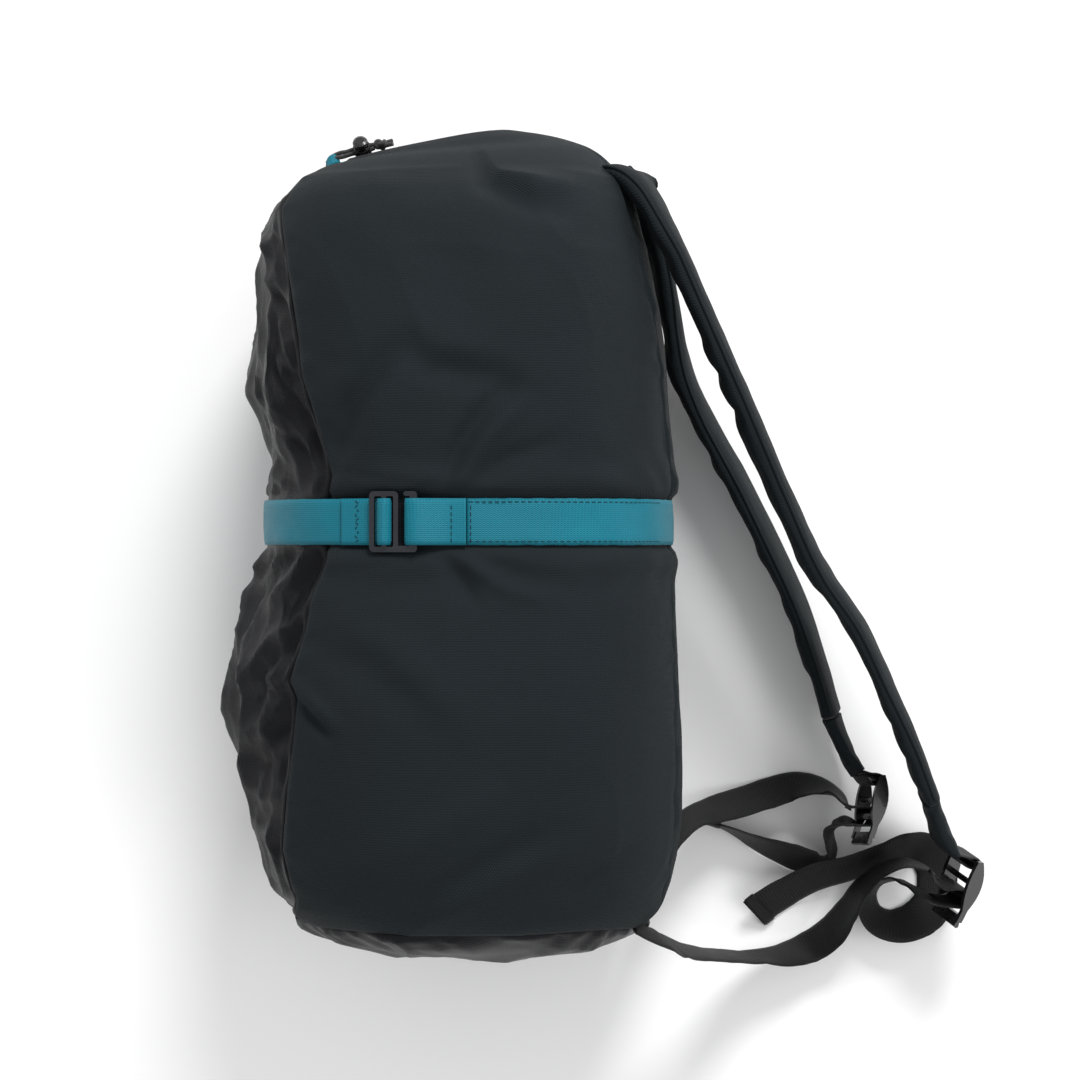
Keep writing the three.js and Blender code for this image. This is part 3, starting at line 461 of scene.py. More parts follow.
def strap_pinch(surface, seed, amount):
    """Wrinkles that fan out from under the compression strap."""
    away = np.abs(surface.y) - GROOVE_HALF
    spread = 5 + np.maximum(away, 0) * 0.22
    fan = noise(np.stack([surface.from_start / spread, away / 60, np.full_like(away, 3.0)], -1), 1.9, seed)
    rise = amount * smoothstep(away, 0, 12) * np.exp(-np.maximum(away, 0) / 30)
    bulge = 2.4 * np.exp(-((away - 9) / 8) ** 2)
    return fan * rise + bulge


def gathers(surface, height, seed, wavelength=9.0):
    """Puckers along a panel's seams, where the stitching gathers it."""
    near = np.exp(-surface.edge / 16)
    cloth = np.stack([surface.edge, surface.along, np.zeros_like(surface.along)], -1)
    return near * noise(cloth, (30, wavelength, 1), seed) * height


def panel(name, surface, rise, body_slot, material, nodes, thickness=0.7):
    """One panel of the sack. All panels turn in alike at their seams, so that they meet there."""
    dip = groove(surface.y)
    tuck = SEAM_TUCK * np.exp(-(surface.edge / 2.2) ** 1.5)
    free = smoothstep(np.abs(surface.y), GROOVE_HALF - 1.0, GROOVE_HALF + 5) * smoothstep(surface.edge, 0, 7)
    rise = np.minimum(rise, HIGHEST_RISE - LOCK_ROOM * smoothstep(surface.y, *LOCK_ROOM_Y))
    points = surface.points + surface.normal * (rise * free - dip - tuck)[..., None]
    points[..., 2] = np.maximum(points[..., 2], 0.0)
    rows, columns = points.shape[:2]
    uv = np.stack([surface.from_start, surface.along], -1).reshape(-1, 2) * MM
    faces = grid_faces(rows, columns)
    made = obj_from(name, points.reshape(-1, 3), faces, material, uv)
    centre = made.data.polygons[len(made.data.polygons) // 2]
    j, i = divmod(len(made.data.polygons) // 2, columns - 1)
    if np.dot(np.array(centre.normal), surface.normal[j, i]) < 0:
        made.data.flip_normals()
    modify(made, "SOLIDIFY", thickness=thickness * MM, offset=-1)
    return place(made, "sack", body_slot, *nodes)


# Folds on the right side panel, in x and y: line, width and height.
SIDE_FOLDS = [
    ([(-66, 22), (-52, 62), (-33, 86), (-20, 98)], 7, -3.2),
    ([(-45, 24), (-34, 62), (-18, 84)], 10, 2.2),
    ([(-20, 98), (-6, 82), (28, 76), (44, 68)], 9, -3.0),
    ([(-24, 104), (-6, 96), (24, 90)], 11, 1.6),
    ([(-2, 17), (8, 42), (22, 62), (38, 74)], 5, -2.4),
    ([(4, 16), (22, 44), (44, 66)], 5, 2.0),
    ([(10, 16), (34, 34), (62, 44)], 5, -1.8),
    ([(-4, -17), (8, -30), (17, -44)], 5, -2.6),
    ([(6, -17), (28, -34), (52, -42)], 4, 1.6),
    ([(12, -17), (40, -28), (66, -33)], 5, -1.5),
    ([(-84, -93), (-74, -104), (-62, -116)], 3.5, -2.6),
    ([(-80, -88), (-68, -100), (-56, -112)], 4, 1.5),
    ([(-66, -50), (-30, -70), (6, -104)], 12, 1.8),
    ([(-60, -66), (-24, -88), (0, -120)], 12, -1.6),
    ([(-50, -190), (-10, -170), (34, -140)], 10, 1.8),
    ([(-26, -214), (18, -186), (56, -166)], 8, -2.2),
    ([(-8, -215), (34, -190), (70, -174)], 7, 1.6),
    ([(64, -206), (88, -190), (104, -176)], 7, -2.0),
    ([(16, 207), (22, 186), (44, 174), (66, 168)], 7, -3.6),
    ([(24, 208), (34, 192), (52, 184), (70, 184)], 6, 3.0),
    ([(-84, 150), (-60, 120), (-50, 90)], 16, 1.6),
    ([(-10, 170), (0, 140), (-6, 116)], 20, -1.4),
    ([(88, 150), (96, 80), (100, 30)], 16, -1.2),
]
# Folds on the front gusset: distance from its right-hand seam, and height along the sack.
GUSSET_FOLDS = [
    ([(2, 60), (16, 72), (30, 96)], 4, 3.4), ([(4, 40), (14, 58), (18, 84)], 4, -3.6),
    ([(1, 78), (10, 84), (22, 112), (34, 132)], 4, 3.0), ([(22, 62), (30, 88), (26, 118)], 5, -3.8),
    ([(30, 30), (38, 60), (44, 96)], 6, 3.6), ([(10, 20), (20, 36), (40, 52)], 4, -3.2),
    ([(6, 108), (20, 122), (42, 130)], 5, -4.0), ([(4, 118), (22, 134), (50, 138)], 5, 3.6),
    ([(2, 146), (16, 160), (34, 168)], 5, -3.2), ([(8, 172), (22, 158), (44, 150)], 5, 3.2),
    ([(1, -40), (14, -56), (32, -62), (52, -88)], 5, 3.8), ([(4, -62), (22, -74), (40, -104)], 5, -4.0),
    ([(2, -20), (16, -34), (20, -58)], 4, -3.4), ([(16, -18), (34, -40), (52, -52)], 5, 3.2),
    ([(1, -92), (14, -88), (34, -72)], 4, 3.4), ([(2, -104), (18, -116), (24, -140)], 5, -3.4),
    ([(22, -84), (26, -120), (30, -158)], 6, 3.2), ([(2, -128), (24, -134), (50, -130)], 5, -3.0),
    ([(4, -150), (28, -154), (52, -146)], 5, 2.8), ([(3, -166), (14, -184), (16, -206)], 5, -3.0),
    ([(18, -168), (26, -190), (40, -206)], 6, 2.8), ([(60, 20), (70, 60), (66, 110)], 8, -4.0),
    ([(60, -30), (76, -80), (70, -130)], 8, -4.0), ([(84, 30), (90, 80), (84, 130)], 8, 3.4),
    ([(90, -24), (96, -90), (88, -150)], 8, 3.4), ([(120, 20), (114, 70), (122, 120)], 7, -3.4),
    ([(118, -20), (128, -70), (118, -130)], 7, -3.4), ([(140, 20), (130, 60), (138, 100)], 6, 3.0),
    ([(142, -24), (132, -80), (140, -140)], 6, 3.0),
]

body_rows = even_stations(BOTTOM_SEAM, MOUTH_SEAM, 2.6)


def mirrored(seam):
    return lambda station: 360 - seam(station)


def side_rise(surface, seed, folds):
    rise = gathers(surface, 1.6, seed) + strap_pinch(surface, seed + 1, 1.7)
    cloth = surface.cloth()
    rise += noise(cloth, (70, 90, 1), seed + 2) * 1.6 + noise(cloth, (26, 34, 1), seed + 3) * 0.5
    rise += (ridges(cloth, (46, 60, 1), seed + 4, 4) - 0.3) * 0.7
    for line, width, height in folds:
        rise = rise + fold(surface.points, line, width, height * 1.45)
    return rise


def mouth_pleats(surface, seed, amount):
    """Gathers that run into the drawn-in mouth."""
    left = surface.along.max() - surface.along
    near = (1 - smoothstep(left, 12, 70)) * (0.25 + 0.75 * smoothstep(left, 4, 26))
    turn = np.radians(surface.angles)
    loop = np.stack([np.cos(turn) * 4.2, np.sin(turn) * 4.2, surface.along / 60], -1)
    return near * amount * noise(loop, 0.55, seed)


def make_sack():
    right = Surface(body_rows, back_seam, front_seam, 126)
    panel("side_right", right, side_rise(right, 11, SIDE_FOLDS) + mouth_pleats(right, 41, MOUTH_PLEATS),
          "ripstop", ripstop, ["side_panel_right"])
    left = Surface(body_rows, mirrored(front_seam), mirrored(back_seam), 126)
    panel("side_left", left, side_rise(left, 23, []) * 0.7 + mouth_pleats(left, 41, MOUTH_PLEATS),
          "ripstop", ripstop, ["side_panel_left"])
    back = Surface(body_rows, lambda s: -back_seam(s), back_seam, 60)
    panel("back", back, side_rise(back, 31, []) + mouth_pleats(back, 41, MOUTH_PLEATS),
          "ripstop", ripstop, ["back_panel"])
    front = Surface(body_rows, front_seam, mirrored(front_seam), 96)
    cloth = front.cloth()
    cloth[..., 1] = front.y
    rise = gathers(front, 3.2, 51, 13) + strap_pinch(front, 52, 3.4)
    rise += facets(cloth, (24, 46), 53, 4.8) + facets(cloth, (13, 24), 54, 1.3) - 6.4
    for line, width, height in GUSSET_FOLDS:
        rise = rise + fold(cloth, line, width, height * 0.8, sharp=1.35)
    calm = 0.55 + 0.45 * smoothstep(front.points[..., 2], 8, 60)
    panel("gusset", front, rise * calm + mouth_pleats(front, 41, MOUTH_PLEATS),
          "thin_nylon", thin_nylon, ["front_gusset"])


def make_bottom():
    stations = even_stations(0.02, BOTTOM_SEAM, 2.6)
    angles = np.linspace(0, 360, 240, endpoint=False)
    points = skin(stations[:, None], angles[None, :])
    gy = np.gradient(points, axis=0)
    gx = np.roll(points, -1, axis=1) - np.roll(points, 1, axis=1)
    normal = np.cross(gx, gy)
    normal /= np.maximum(np.linalg.norm(normal, axis=2, keepdims=True), 1e-9)
    if normal[2, 10, 1] > 0:
        normal = -normal
    reach = np.linalg.norm(np.diff(points, axis=0), axis=2).mean(axis=1)
    out = np.concatenate([[0], np.cumsum(reach)])[:, None] + np.zeros((1, len(angles)))
    edge = out.max() - out
    turn = np.radians(angles)[None, :] + np.zeros_like(out)
    loop = np.stack([np.cos(turn) * 9, np.sin(turn) * 9, edge / 30], -1)
    rise = noise(loop, 0.62, 61) * 2.6 * np.exp(-edge / 22) * smoothstep(edge, 0, 4)
    rise += noise(points, 34, 62) * 1.6 * smoothstep(out, 0, 20)
    rise += facets(points[..., [0, 2]], (34, 34), 63, 3.0) * smoothstep(out, 0, 20)
    rise -= 2.4 * np.exp(-(edge / 2.4) ** 1.5)
    points = points + normal * rise[..., None]
    points[..., 2] = np.maximum(points[..., 2], 0)
    rows, columns = points.shape[:2]
    flat = points.reshape(-1, 3)
    faces = [tuple(f) for f in grid_faces(rows, columns, closed=True)] + [tuple(range(columns))[::-1]]
    made = obj_from("bottom", flat, faces, thin_nylon, flat[:, [0, 2]] * MM)
    if made.data.polygons[columns * 3].normal.y > 0:
        made.data.flip_normals()
    modify(made, "SOLIDIFY", thickness=0.6 * MM, offset=-1)
    place(made, "sack", "thin_nylon", "bottom_panel")


make_sack()
make_bottom()


# ---------------------------------------------------------------- sweeps
def catmull(points, per=24):
    """Centripetal curve through the points: dense places on it and the point number of each."""
    p = np.asarray(points, float)
    p = np.vstack([2 * p[0] - p[1], p, 2 * p[-1] - p[-2]])
    places, numbers = [], []
    for i in range(1, len(p) - 2):
        x0, x1, x2, x3 = p[i - 1:i + 3]
        d0, d1, d2 = [max(np.linalg.norm(b - a) ** 0.5, 1e-4) for a, b in ((x0, x1), (x1, x2), (x2, x3))]
        t1 = ((x1 - x0) / d0 - (x2 - x0) / (d0 + d1) + (x2 - x1) / d1) * d1
        t2 = ((x2 - x1) / d1 - (x3 - x1) / (d1 + d2) + (x3 - x2) / d2) * d1
        f = np.linspace(0, 1, per, endpoint=i == len(p) - 3)[:, None]
        f2, f3 = f * f, f * f * f
        ends = (2 * f3 - 3 * f2 + 1) * x1 + (f3 - 2 * f2 + f) * t1
        places.append(ends + (3 * f2 - 2 * f3) * x2 + (f3 - f2) * t2)
        numbers.append(i - 1 + f[:, 0])
    return np.vstack(places), np.concatenate(numbers)


class Route:
    """Even places along a curve with a tangent, a width direction and a face direction at each."""

    def __init__(self, points, spacing, sides=None):
        path = np.array([p[:3] for p in points], float)
        dense, number = catmull(path)
        reach = np.concatenate([[0], np.cumsum(np.linalg.norm(np.diff(dense, axis=0), axis=1))])
        self.length = reach[-1]
        self.s = np.linspace(0, self.length, max(int(self.length / spacing), 4) + 1)
        self.p = np.stack([np.interp(self.s, reach, dense[:, a]) for a in range(3)], -1)
        tangent = np.gradient(self.p, axis=0)
        self.t = tangent / np.linalg.norm(tangent, axis=1, keepdims=True)
        if sides is None:
            number = np.interp(self.s, reach, number)
            lean = np.radians(np.interp(number, np.arange(len(points)), [p[3] for p in points]))[:, None]
            up = np.array([0, 0, 1.0]) - self.t * self.t[:, 2:3]
            up /= np.linalg.norm(up, axis=1, keepdims=True)
            side = up * np.cos(lean) + np.cross(self.t, up) * np.sin(lean)
        else:
            side = np.asarray(sides, float) + np.zeros_like(self.p)
            side = side - self.t * np.sum(side * self.t, axis=1, keepdims=True)
            side /= np.linalg.norm(side, axis=1, keepdims=True)
        self.side = side
        self.face = np.cross(self.t, side)

    def at(self, across, height):
        """Points of the swept section: across and height are (places, section) arrays."""
        sideways = self.side[:, None] * across[..., None]
        return self.p[:, None] + sideways + self.face[:, None] * height[..., None]


def band_section(width, thickness, columns=11):
    """A flat section with rounded selvedges, once around."""
    a = np.linspace(-1, 1, columns)
    top = np.sqrt(np.clip(1 - np.abs(a) ** 14, 0, 1)) * 0.5
    top[[0, -1]] = 0.16
    across = np.concatenate([a, a[::-1]]) * width / 2
    height = np.concatenate([top, -top[::-1]]) * thickness
    return across, height


def sweep(name, route, across, height, material, uv_across=None):
    """Sweeps closed sections along a route, with capped ends."""
    points = route.at(across, height)
    rows, columns = points.shape[:2]
    if uv_across is None:
        uv_across = across
    uv = np.stack([route.s[:, None] + np.zeros_like(across), uv_across], -1).reshape(-1, 2) * MM
    last = (rows - 1) * columns
    faces = [tuple(f) for f in grid_faces(rows, columns, closed=True, flip=True)]
    faces += [tuple(range(columns)), tuple(range(last + columns - 1, last - 1, -1))]
    return obj_from(name, points.reshape(-1, 3), faces, material, uv)


def ribbon(name, route, width, thickness, material, seed=None, wave=0.3):
    """A length of webbing; a seed gives it slight waves and a thread-wide wobble at its edges."""
    a, h = band_section(width, thickness)
    across = a[None, :] + np.zeros((len(route.s), 1))
    height = h[None, :] + np.zeros((len(route.s), 1))
    if seed is not None:
        flat = np.zeros_like(across)
        where = np.stack([across / 10, route.s[:, None] / 16 + flat, flat], -1)
        height = height + wave * noise(where, 1.0, seed)
        wobble = noise(np.stack([route.s / 3, route.s * 0, route.s * 0], -1), 1.0, seed)
        across = across * (1 + 0.012 * wobble[:, None])
    return sweep(name, route, across, height, material)


def stitches(name, path, normal, material, length=2.4, gap=1.1, radius=0.26, lift=0.1):
    """A row of thread stitches along a path, each a small rounded bar lying on the cloth."""
    path, normal = np.asarray(path, float), np.asarray(normal, float) + np.zeros_like(path)
    reach = np.concatenate([[0], np.cumsum(np.linalg.norm(np.diff(path, axis=0), axis=1))])
    starts = np.arange(0.4, reach[-1] - length, length + gap)
    points, faces = [], []
    rings = [(0.0, 0.35), (0.12, 0.85), (0.5, 1.0), (0.88, 0.85), (1.0, 0.35)]
    for start in starts:
        at = start + np.array([r[0] for r in rings]) * length
        centre = np.stack([np.interp(at, reach, path[:, a]) for a in range(3)], -1)
        up = np.stack([np.interp(at, reach, normal[:, a]) for a in range(3)], -1)
        along = centre[-1] - centre[0]
        along /= np.linalg.norm(along)
        side = np.cross(along, up)
        first = len(points)
        for c, u, s, (_, r) in zip(centre, up, side, rings):
            for k in range(6):
                turn = math.tau * k / 6
                points.append(c + u * (lift + radius * r * math.sin(turn)) + s * radius * r * math.cos(turn))
        for ring in range(len(rings) - 1):
            for k in range(6):
                a, b = first + ring * 6 + k, first + ring * 6 + (k + 1) % 6
                faces.append((a, b, b + 6, a + 6))
        faces.append(tuple(range(first + 5, first - 1, -1)))
        faces.append(tuple(range(first + 24, first + 30)))
    return obj_from(name, points, faces, material)


def make_tapes():
    """The tapes sewn inside the seams, a little below the cloth."""
    rows = body_rows[2::2]
    rows = rows[rib(rows)[0] < TAPE_TOP]
    seams = {"front_right": front_seam, "front_left": mirrored(front_seam), "back_right": back_seam,
             "back_left": mirrored(back_seam)}
    for name, seam in seams.items():
        shape = rib(rows)[2]
        middle = np.stack([shape[0], rib(rows)[0], shape[1]], -1)
        points = skin(rows, seam(rows))
        inward = middle - points
        inward[:, 1] = 0
        points = points + inward / np.linalg.norm(inward, axis=1, keepdims=True) * TAPE_DEPTH
        tape = Route([(*p, 0) for p in points], 4.0, sides=(0, 0, 1))
        place(ribbon(f"tape_{name}", tape, 5, 0.8, tape_cloth), "sack", "tape", f"seam_tape_{name}")
    around = np.linspace(0, 360, 121)
    points = skin(np.full_like(around, BOTTOM_SEAM), around)
    middle = np.array([rib(np.array([BOTTOM_SEAM]))[2][0, 0], 0, rib(np.array([BOTTOM_SEAM]))[2][1, 0]])
    inward = (middle - points) * [1, 0, 1]
    points = points + inward / np.linalg.norm(inward, axis=1, keepdims=True) * TAPE_DEPTH + [0, 2, 0]
    tape = Route([(*p, 0) for p in points], 4.0, sides=(0, 1, 0))
    place(ribbon("tape_bottom", tape, 5, 0.8, tape_cloth), "sack", "tape", "seam_tape_bottom")


make_tapes()


# ---------------------------------------------------------------- compression strap
WEBBING = 25
THICK = 1.6
HOOK_X = -39.6
FOLD_END = -16.5
FOLD_PLY = 1.3
LOOP_END = 52


def angle_at_x(x):
    low, high = 1.0, 179.0
    for _ in range(40):
        middle = (low + high) / 2
        if skin(BELT_STATION, middle)[0] > x:
            low = middle
        else:
            high = middle
    return low


def station_at(y):
    stations = np.linspace(0, 18, 4000)
    return np.interp(y, rib(stations)[0], stations)


def belt_normal(angle):
    step = 0.5
    around = skin(BELT_STATION, angle + step) - skin(BELT_STATION, angle - step)
    normal = np.array([around[2], 0, -around[0]])
    return normal / np.linalg.norm(normal)


def on_belt(angle, height, y=0.0):
    """A point over the strap's groove."""
    p = skin(np.array(station_at(y)), np.array(angle))
    out = -belt_normal(angle) if np.dot(belt_normal(angle), p - [10, y, 110]) < 0 else belt_normal(angle)
    return p + out * height


hook_seat = skin(BELT_STATION, angle_at_x(HOOK_X))
hook_ahead = skin(BELT_STATION, angle_at_x(HOOK_X + 26)) - hook_seat
HOOK_COS = hook_ahead[0] / np.linalg.norm(hook_ahead)


def strap_angle(x):
    return angle_at_x(HOOK_X + x * HOOK_COS)


def belt_route(start, end, height, spacing=2.0):
    angles = np.linspace(start, end, 90)
    return Route([on_belt(a, height) for a in angles], spacing, sides=(0, 1, 0))


BACK_ANCHOR = float(back_seam(BELT_STATION)) - 4
back_run = belt_route(BACK_ANCHOR, strap_angle(LOOP_END + 0.4), -0.9)
place(ribbon("strap_right", back_run, WEBBING, THICK, teal_webbing, seed=71), "sack", "teal_webbing",
      "strap_right_run")
left_run = belt_route(214.3, 360 - BACK_ANCHOR, -0.9)
place(ribbon("strap_left", left_run, WEBBING, THICK, teal_webbing, seed=72, wave=0.0), "sack", "teal_webbing",
      "strap_left_run")
front_run = belt_route(strap_angle(FOLD_END - 0.4), 214, -0.9)
strap_front = ribbon("strap_front", front_run, WEBBING, THICK, teal_webbing, seed=73)
place(strap_front, ("hook_end", "sack", front_run.p[2], front_run.p[-30]), "teal_webbing", "strap_front_run")


def over_groove(points, extra):
    return [on_belt(strap_angle(x), h + extra - 2.0) for x, h in points]


BAR_TOP = 7.0
fold_route = Route(over_groove([
    (FOLD_END, 0.4), (-8, 0.5), (-1, 0.6), (5, 0.9), (8.5, 1.6), (11.0, 3.2), (11.2, 5.6),
    (8.9, BAR_TOP + 1.05), (6.9, BAR_TOP + 0.85), (5, BAR_TOP - 1.2), (4.4, 4.1), (2.6, 2.6),
    (-1.5, 2.2), (-8, 2.15), (FOLD_END, 2.1),
], FOLD_PLY / 2), 0.8, sides=(0, 1, 0))
place(ribbon("strap_hook_end", fold_route, WEBBING, FOLD_PLY, teal_webbing), "hook_end", "teal_webbing",
      "strap_hook_fold")
loop_route = Route(over_groove([
    (LOOP_END, 0.2), (42, 0.3), (33, 0.9), (27, 1.7), (23.5, 2.2), (20.4, 3.6), (19.6, 5.2), (20.6, 7),
    (24.35, BAR_TOP + 1.2), (29, BAR_TOP), (34, 4.6), (42, 2.3), (LOOP_END, 2),
], FOLD_PLY / 2), 1.0, sides=(0, 1, 0))
place(ribbon("strap_loop", loop_route, WEBBING, FOLD_PLY, teal_webbing), "sack", "teal_webbing",
      "strap_receiving_loop")


def belt_stitches(name, body, x_path, ply):
    """Stitches on top of the strap: each place is (x along the strap, y across it, height)."""
    path, normals = [], []
    for x, y, h in x_path:
        angle = strap_angle(x)
        path.append(on_belt(angle, h - 2.0 + ply) + np.array([0, y, 0]))
        normals.append(on_belt(angle, 1) - on_belt(angle, 0))
    place(stitches(name, path, np.array(normals), teal_thread), body, "teal_webbing")


zigzag = [(-7.6 + (1.0 if i % 2 else -1.0), -11.4 + i * 1.9, 2.15) for i in range(13)]
belt_stitches("backstitch_hook", "hook_end", zigzag, 1.35)
for number, x in enumerate((44.0, 54.5)):
    rows = [(x, -11.6 + i * 1.0, 2.2 if x < LOOP_END else 0.4) for i in range(24)]
    belt_stitches(f"bartack_{number}", "sack", rows, 1.35 if x < LOOP_END else 1.75)
for sign in (-1, 1):
    edge = [(x, sign * 10.6, 0.3) for x in np.linspace(LOOP_END + 1, LOOP_END + 108, 60)]
    belt_stitches(f"edge_stitch_{'near' if sign < 0 else 'far'}", "sack", edge, 1.72)


# ---------------------------------------------------------------- shoulder straps
PAD_WIDTH, PAD_THICK = 52, 14
PAD_TAPER = 0.84
SEAM_SHIFT = 1.6
SLEEVE_WIDTH, SLEEVE_THICK = 32, 10
LOAD_SLOT, TAIL_SLOT = 17.3, 28.3
FLOOR = None
HARNESS = {
    "right": dict(
        root=[(88, 199, 132, 16), (96, 197, 142, 16), (103, 193.5, 149, 14), (109.2, 186, 151.8, 11)],
        corner=[(101, -221.5, 166, 16), (110.5, -229.5, 157, 6)],
        pad=[(111.6, 182.4, 153, 10), (120, 166, 154, 8), (128, 151, 152.5, 6), (141.7, 120, 148, 5),
             (162.3, 75.6, 138.5, 5), (189, 19, 122, 7), (212.7, -27.3, 106, 9), (237.7, -62.7, 92, 10),
             (255.8, -98.7, 80, 8), (273.2, -135, 70, 6), (283.5, -162, 62, 4)],
        sleeve=[(284.3, -164.2, 61.4, 4), (290, -180, 56, 0), (294, -190, 52, -6), (297.5, -197, 49, -10)],
        pivot=(310, -202.5, 46), along=(-0.19, -0.96, -0.15), lean=-20,
        run=[(120.5, -237, 144, 0), (127, -242.5, 126, -2), (141, -252, 90, -2), (161, -260.3, 53, 0),
             (181, -265.5, 28, 6), (201.7, -266.6, 16, 24), (217.5, -262.3, FLOOR, 42),
             (231.1, -251.8, 15, 40), (240.6, -237.2, 22, 25), (249, -222, 31, 15), (261, -210.5, 38, 8),
             (275, -206, 43, 5), (288, -211, 45, 2)],
        tail=[(279, -222.5, 28, 0), (268.5, -219.5, 16, 8), (259, -222.6, FLOOR, 22),
              (253.6, -232.4, FLOOR, 34), (257.3, -243.5, FLOOR, 40), (269.1, -249.1, FLOOR, 44),
              (284, -246, FLOOR, 60), (294, -238, FLOOR, 80), (298, -226, FLOOR, 88), (297, -213, FLOOR, 86),
              (289, -203, FLOOR, 70), (276, -200.5, 14, 52), (262.6, -204.5, 19, 45), (241.6, -212.3, 18, 45),
              (220.7, -218.6, 13, 50), (202.6, -228.6, FLOOR, 55), (190.4, -236.3, FLOOR, 58),
              (183.6, -241.9, FLOOR, 60)],
    ),
    "left": dict(
        root=[(92, 203, 77, -40), (98, 198, 75.5, -34), (105, 192.6, 73.5, -28), (110.4, 185.6, 71.3, -13)],
        corner=[(106, -240, 74, 10)],
        pad=[(112.2, 182, 70, -12), (118, 163, 63, -7), (124, 144, 54.5, -2), (129.5, 124, 45, 3),
             (138.5, 90, 34, 7), (150.5, 63.6, 30, 10), (169.6, 30, 28.5, 12), (190.4, -11, 27.5, 13),
             (208.2, -49.6, 26.5, 13), (219.8, -83.3, 26, 12), (229.7, -117.4, 26, 11)],
        sleeve=[(230.2, -119.4, 26, 11), (236, -134, 26, 7), (240.5, -144, 26.8, 0), (246, -153, 28.3, -11)],
        pivot=(255, -156.5, 30), along=(-0.05, -0.95, 0.12), lean=-12,
        run=[(118, -226, 66, 10), (123.5, -211, 56, 12), (131, -194, 45, 20), (143, -181.5, 32, 28),
             (156.6, -176.5, 22, 35), (174.2, -172.1, 15, 40), (192.9, -166.7, FLOOR, 42),
             (208.3, -162.4, FLOOR, 38), (221, -162.5, 18, 25), (231, -166, 27, 12)],
        tail=[(232.5, -185, 30, 12), (230, -191, 22, 12), (230.5, -198, 14.5, 16), (230.5, -204, FLOOR, 24),
              (227, -208.5, FLOOR, 34), (218.5, -209.5, FLOOR, 42), (205.8, -205.3, FLOOR, 42),
              (192, -200, FLOOR, 32), (177.6, -193.3, FLOOR, 18), (165.2, -187.9, FLOOR, 10),
              (154.7, -184.4, FLOOR, 6)],
    ),
}


def on_floor(points):
    """Fills in the height of route points whose webbing lies or stands on the floor."""
    done = []
    for x, y, z, lean in points:
        angle = math.radians(lean)
        resting = (WEBBING * math.cos(angle) + THICK * math.sin(angle)) / 2 + 0.4
        done.append((x, y, resting if z is FLOOR else z, lean))
    return done


def lock_axes(strap):
    along = Vector(strap["along"]).normalized()
    up = (Vector((0, 0, 1)) - along * along.z).normalized()
    bars = Matrix.Rotation(math.radians(strap["lean"]), 3, along) @ up
    return np.array(along), np.array(bars.cross(along)), np.array(bars)


def at_lock(strap, x, y, way):
    """A route point at a slot of the ladder lock, leaning so that the width is along its bars."""
    along, thick, bars = lock_axes(strap)
    tangent = thick * way
    up = np.array([0, 0, 1.0]) - tangent * tangent[2]
    up /= np.linalg.norm(up)
    lean = math.degrees(math.atan2(np.dot(tangent, np.cross(up, bars)), np.dot(up, bars)))
    return (*(np.array(strap["pivot"]) + along * x + thick * y), lean)


def pad_section(width, thickness, count=40):
    turn = 2 * np.pi * (np.arange(count) + 0.5) / count
    return width / 2 * signed_power(np.cos(turn), 0.6), thickness / 2 * signed_power(np.sin(turn), 0.8), turn


def make_pad(side, strap, seed):
    points = strap["root"] + strap["pad"][1:]
    route = Route(points, 2.2)
    u = (route.s / route.length)[:, None]
    a, h, turn = pad_section(PAD_WIDTH, PAD_THICK)
    scale = 1 + (PAD_TAPER - 1) * smoothstep(u, 0.18, 0.95)
    start = smoothstep(u, 0.0, 0.07)
    across = a[None, :] * scale * (0.82 + 0.18 * start)
    height = h[None, :] * scale * (0.3 + 0.7 * start)
    around = np.stack([np.cos(turn)[None, :] * 1.3 + u * 0, np.sin(turn)[None, :] * 0.7 + u * 0,
                       route.s[:, None] / 30 + a[None, :] * 0], -1)
    puff = noise(around, 0.8, seed) * 0.8 + noise(around, 0.35, seed + 1) * 0.55
    inner = smoothstep(np.sin(turn), -0.2, 0.6)[None, :]
    flat = np.zeros_like(a)[None, :] + u * 0
    wobble = noise(np.stack([route.s[:, None] / 12 + flat, flat, flat], -1), 1.0, seed + 2) * 2.4 * inner
    swell = 1 + (puff + wobble) / 11
    height = height * np.where(np.abs(h) > 0.5, swell, 1)
    across = across * (1 + noise(around, 0.6, seed + 3) * 0.02)
    seam = np.exp(-((h + SEAM_SHIFT) / 1.6) ** 2) * (np.abs(a) > PAD_WIDTH * 0.4)
    across = across - 0.4 * np.sign(a) * seam
    pad = sweep(f"pad_{side}", route, across, height, pad_cloth)
    modify(pad, "SUBSURF", levels=1, render_levels=1)
    bends = ("sack", f"shoulder_{side}", points[2][:3], points[5][:3])
    place(pad, bends, "ripstop", f"shoulder_cover_{side}", f"strap_root_{side}")
    for edge, sign in (("top", 1), ("low", -1)):
        k = int(np.argmin(np.abs(h + SEAM_SHIFT) + 100 * (a * sign < 0)))
        line = route.at(across[:, k:k + 1], height[:, k:k + 1])[:, 0] + route.side * sign * 0.3
        piping = Route(line[6:-1:2], 2.0, sides=route.side.mean(axis=0))
        ring = 2 * np.pi * np.arange(8) / 8
        radius = np.ones((len(piping.s), 1)) * 0.95
        cord = sweep(f"piping_{edge}_{side}", piping, np.cos(ring)[None, :] * radius,
                     np.sin(ring)[None, :] * radius, pad_cloth)
        place(cord, bends, "ripstop")


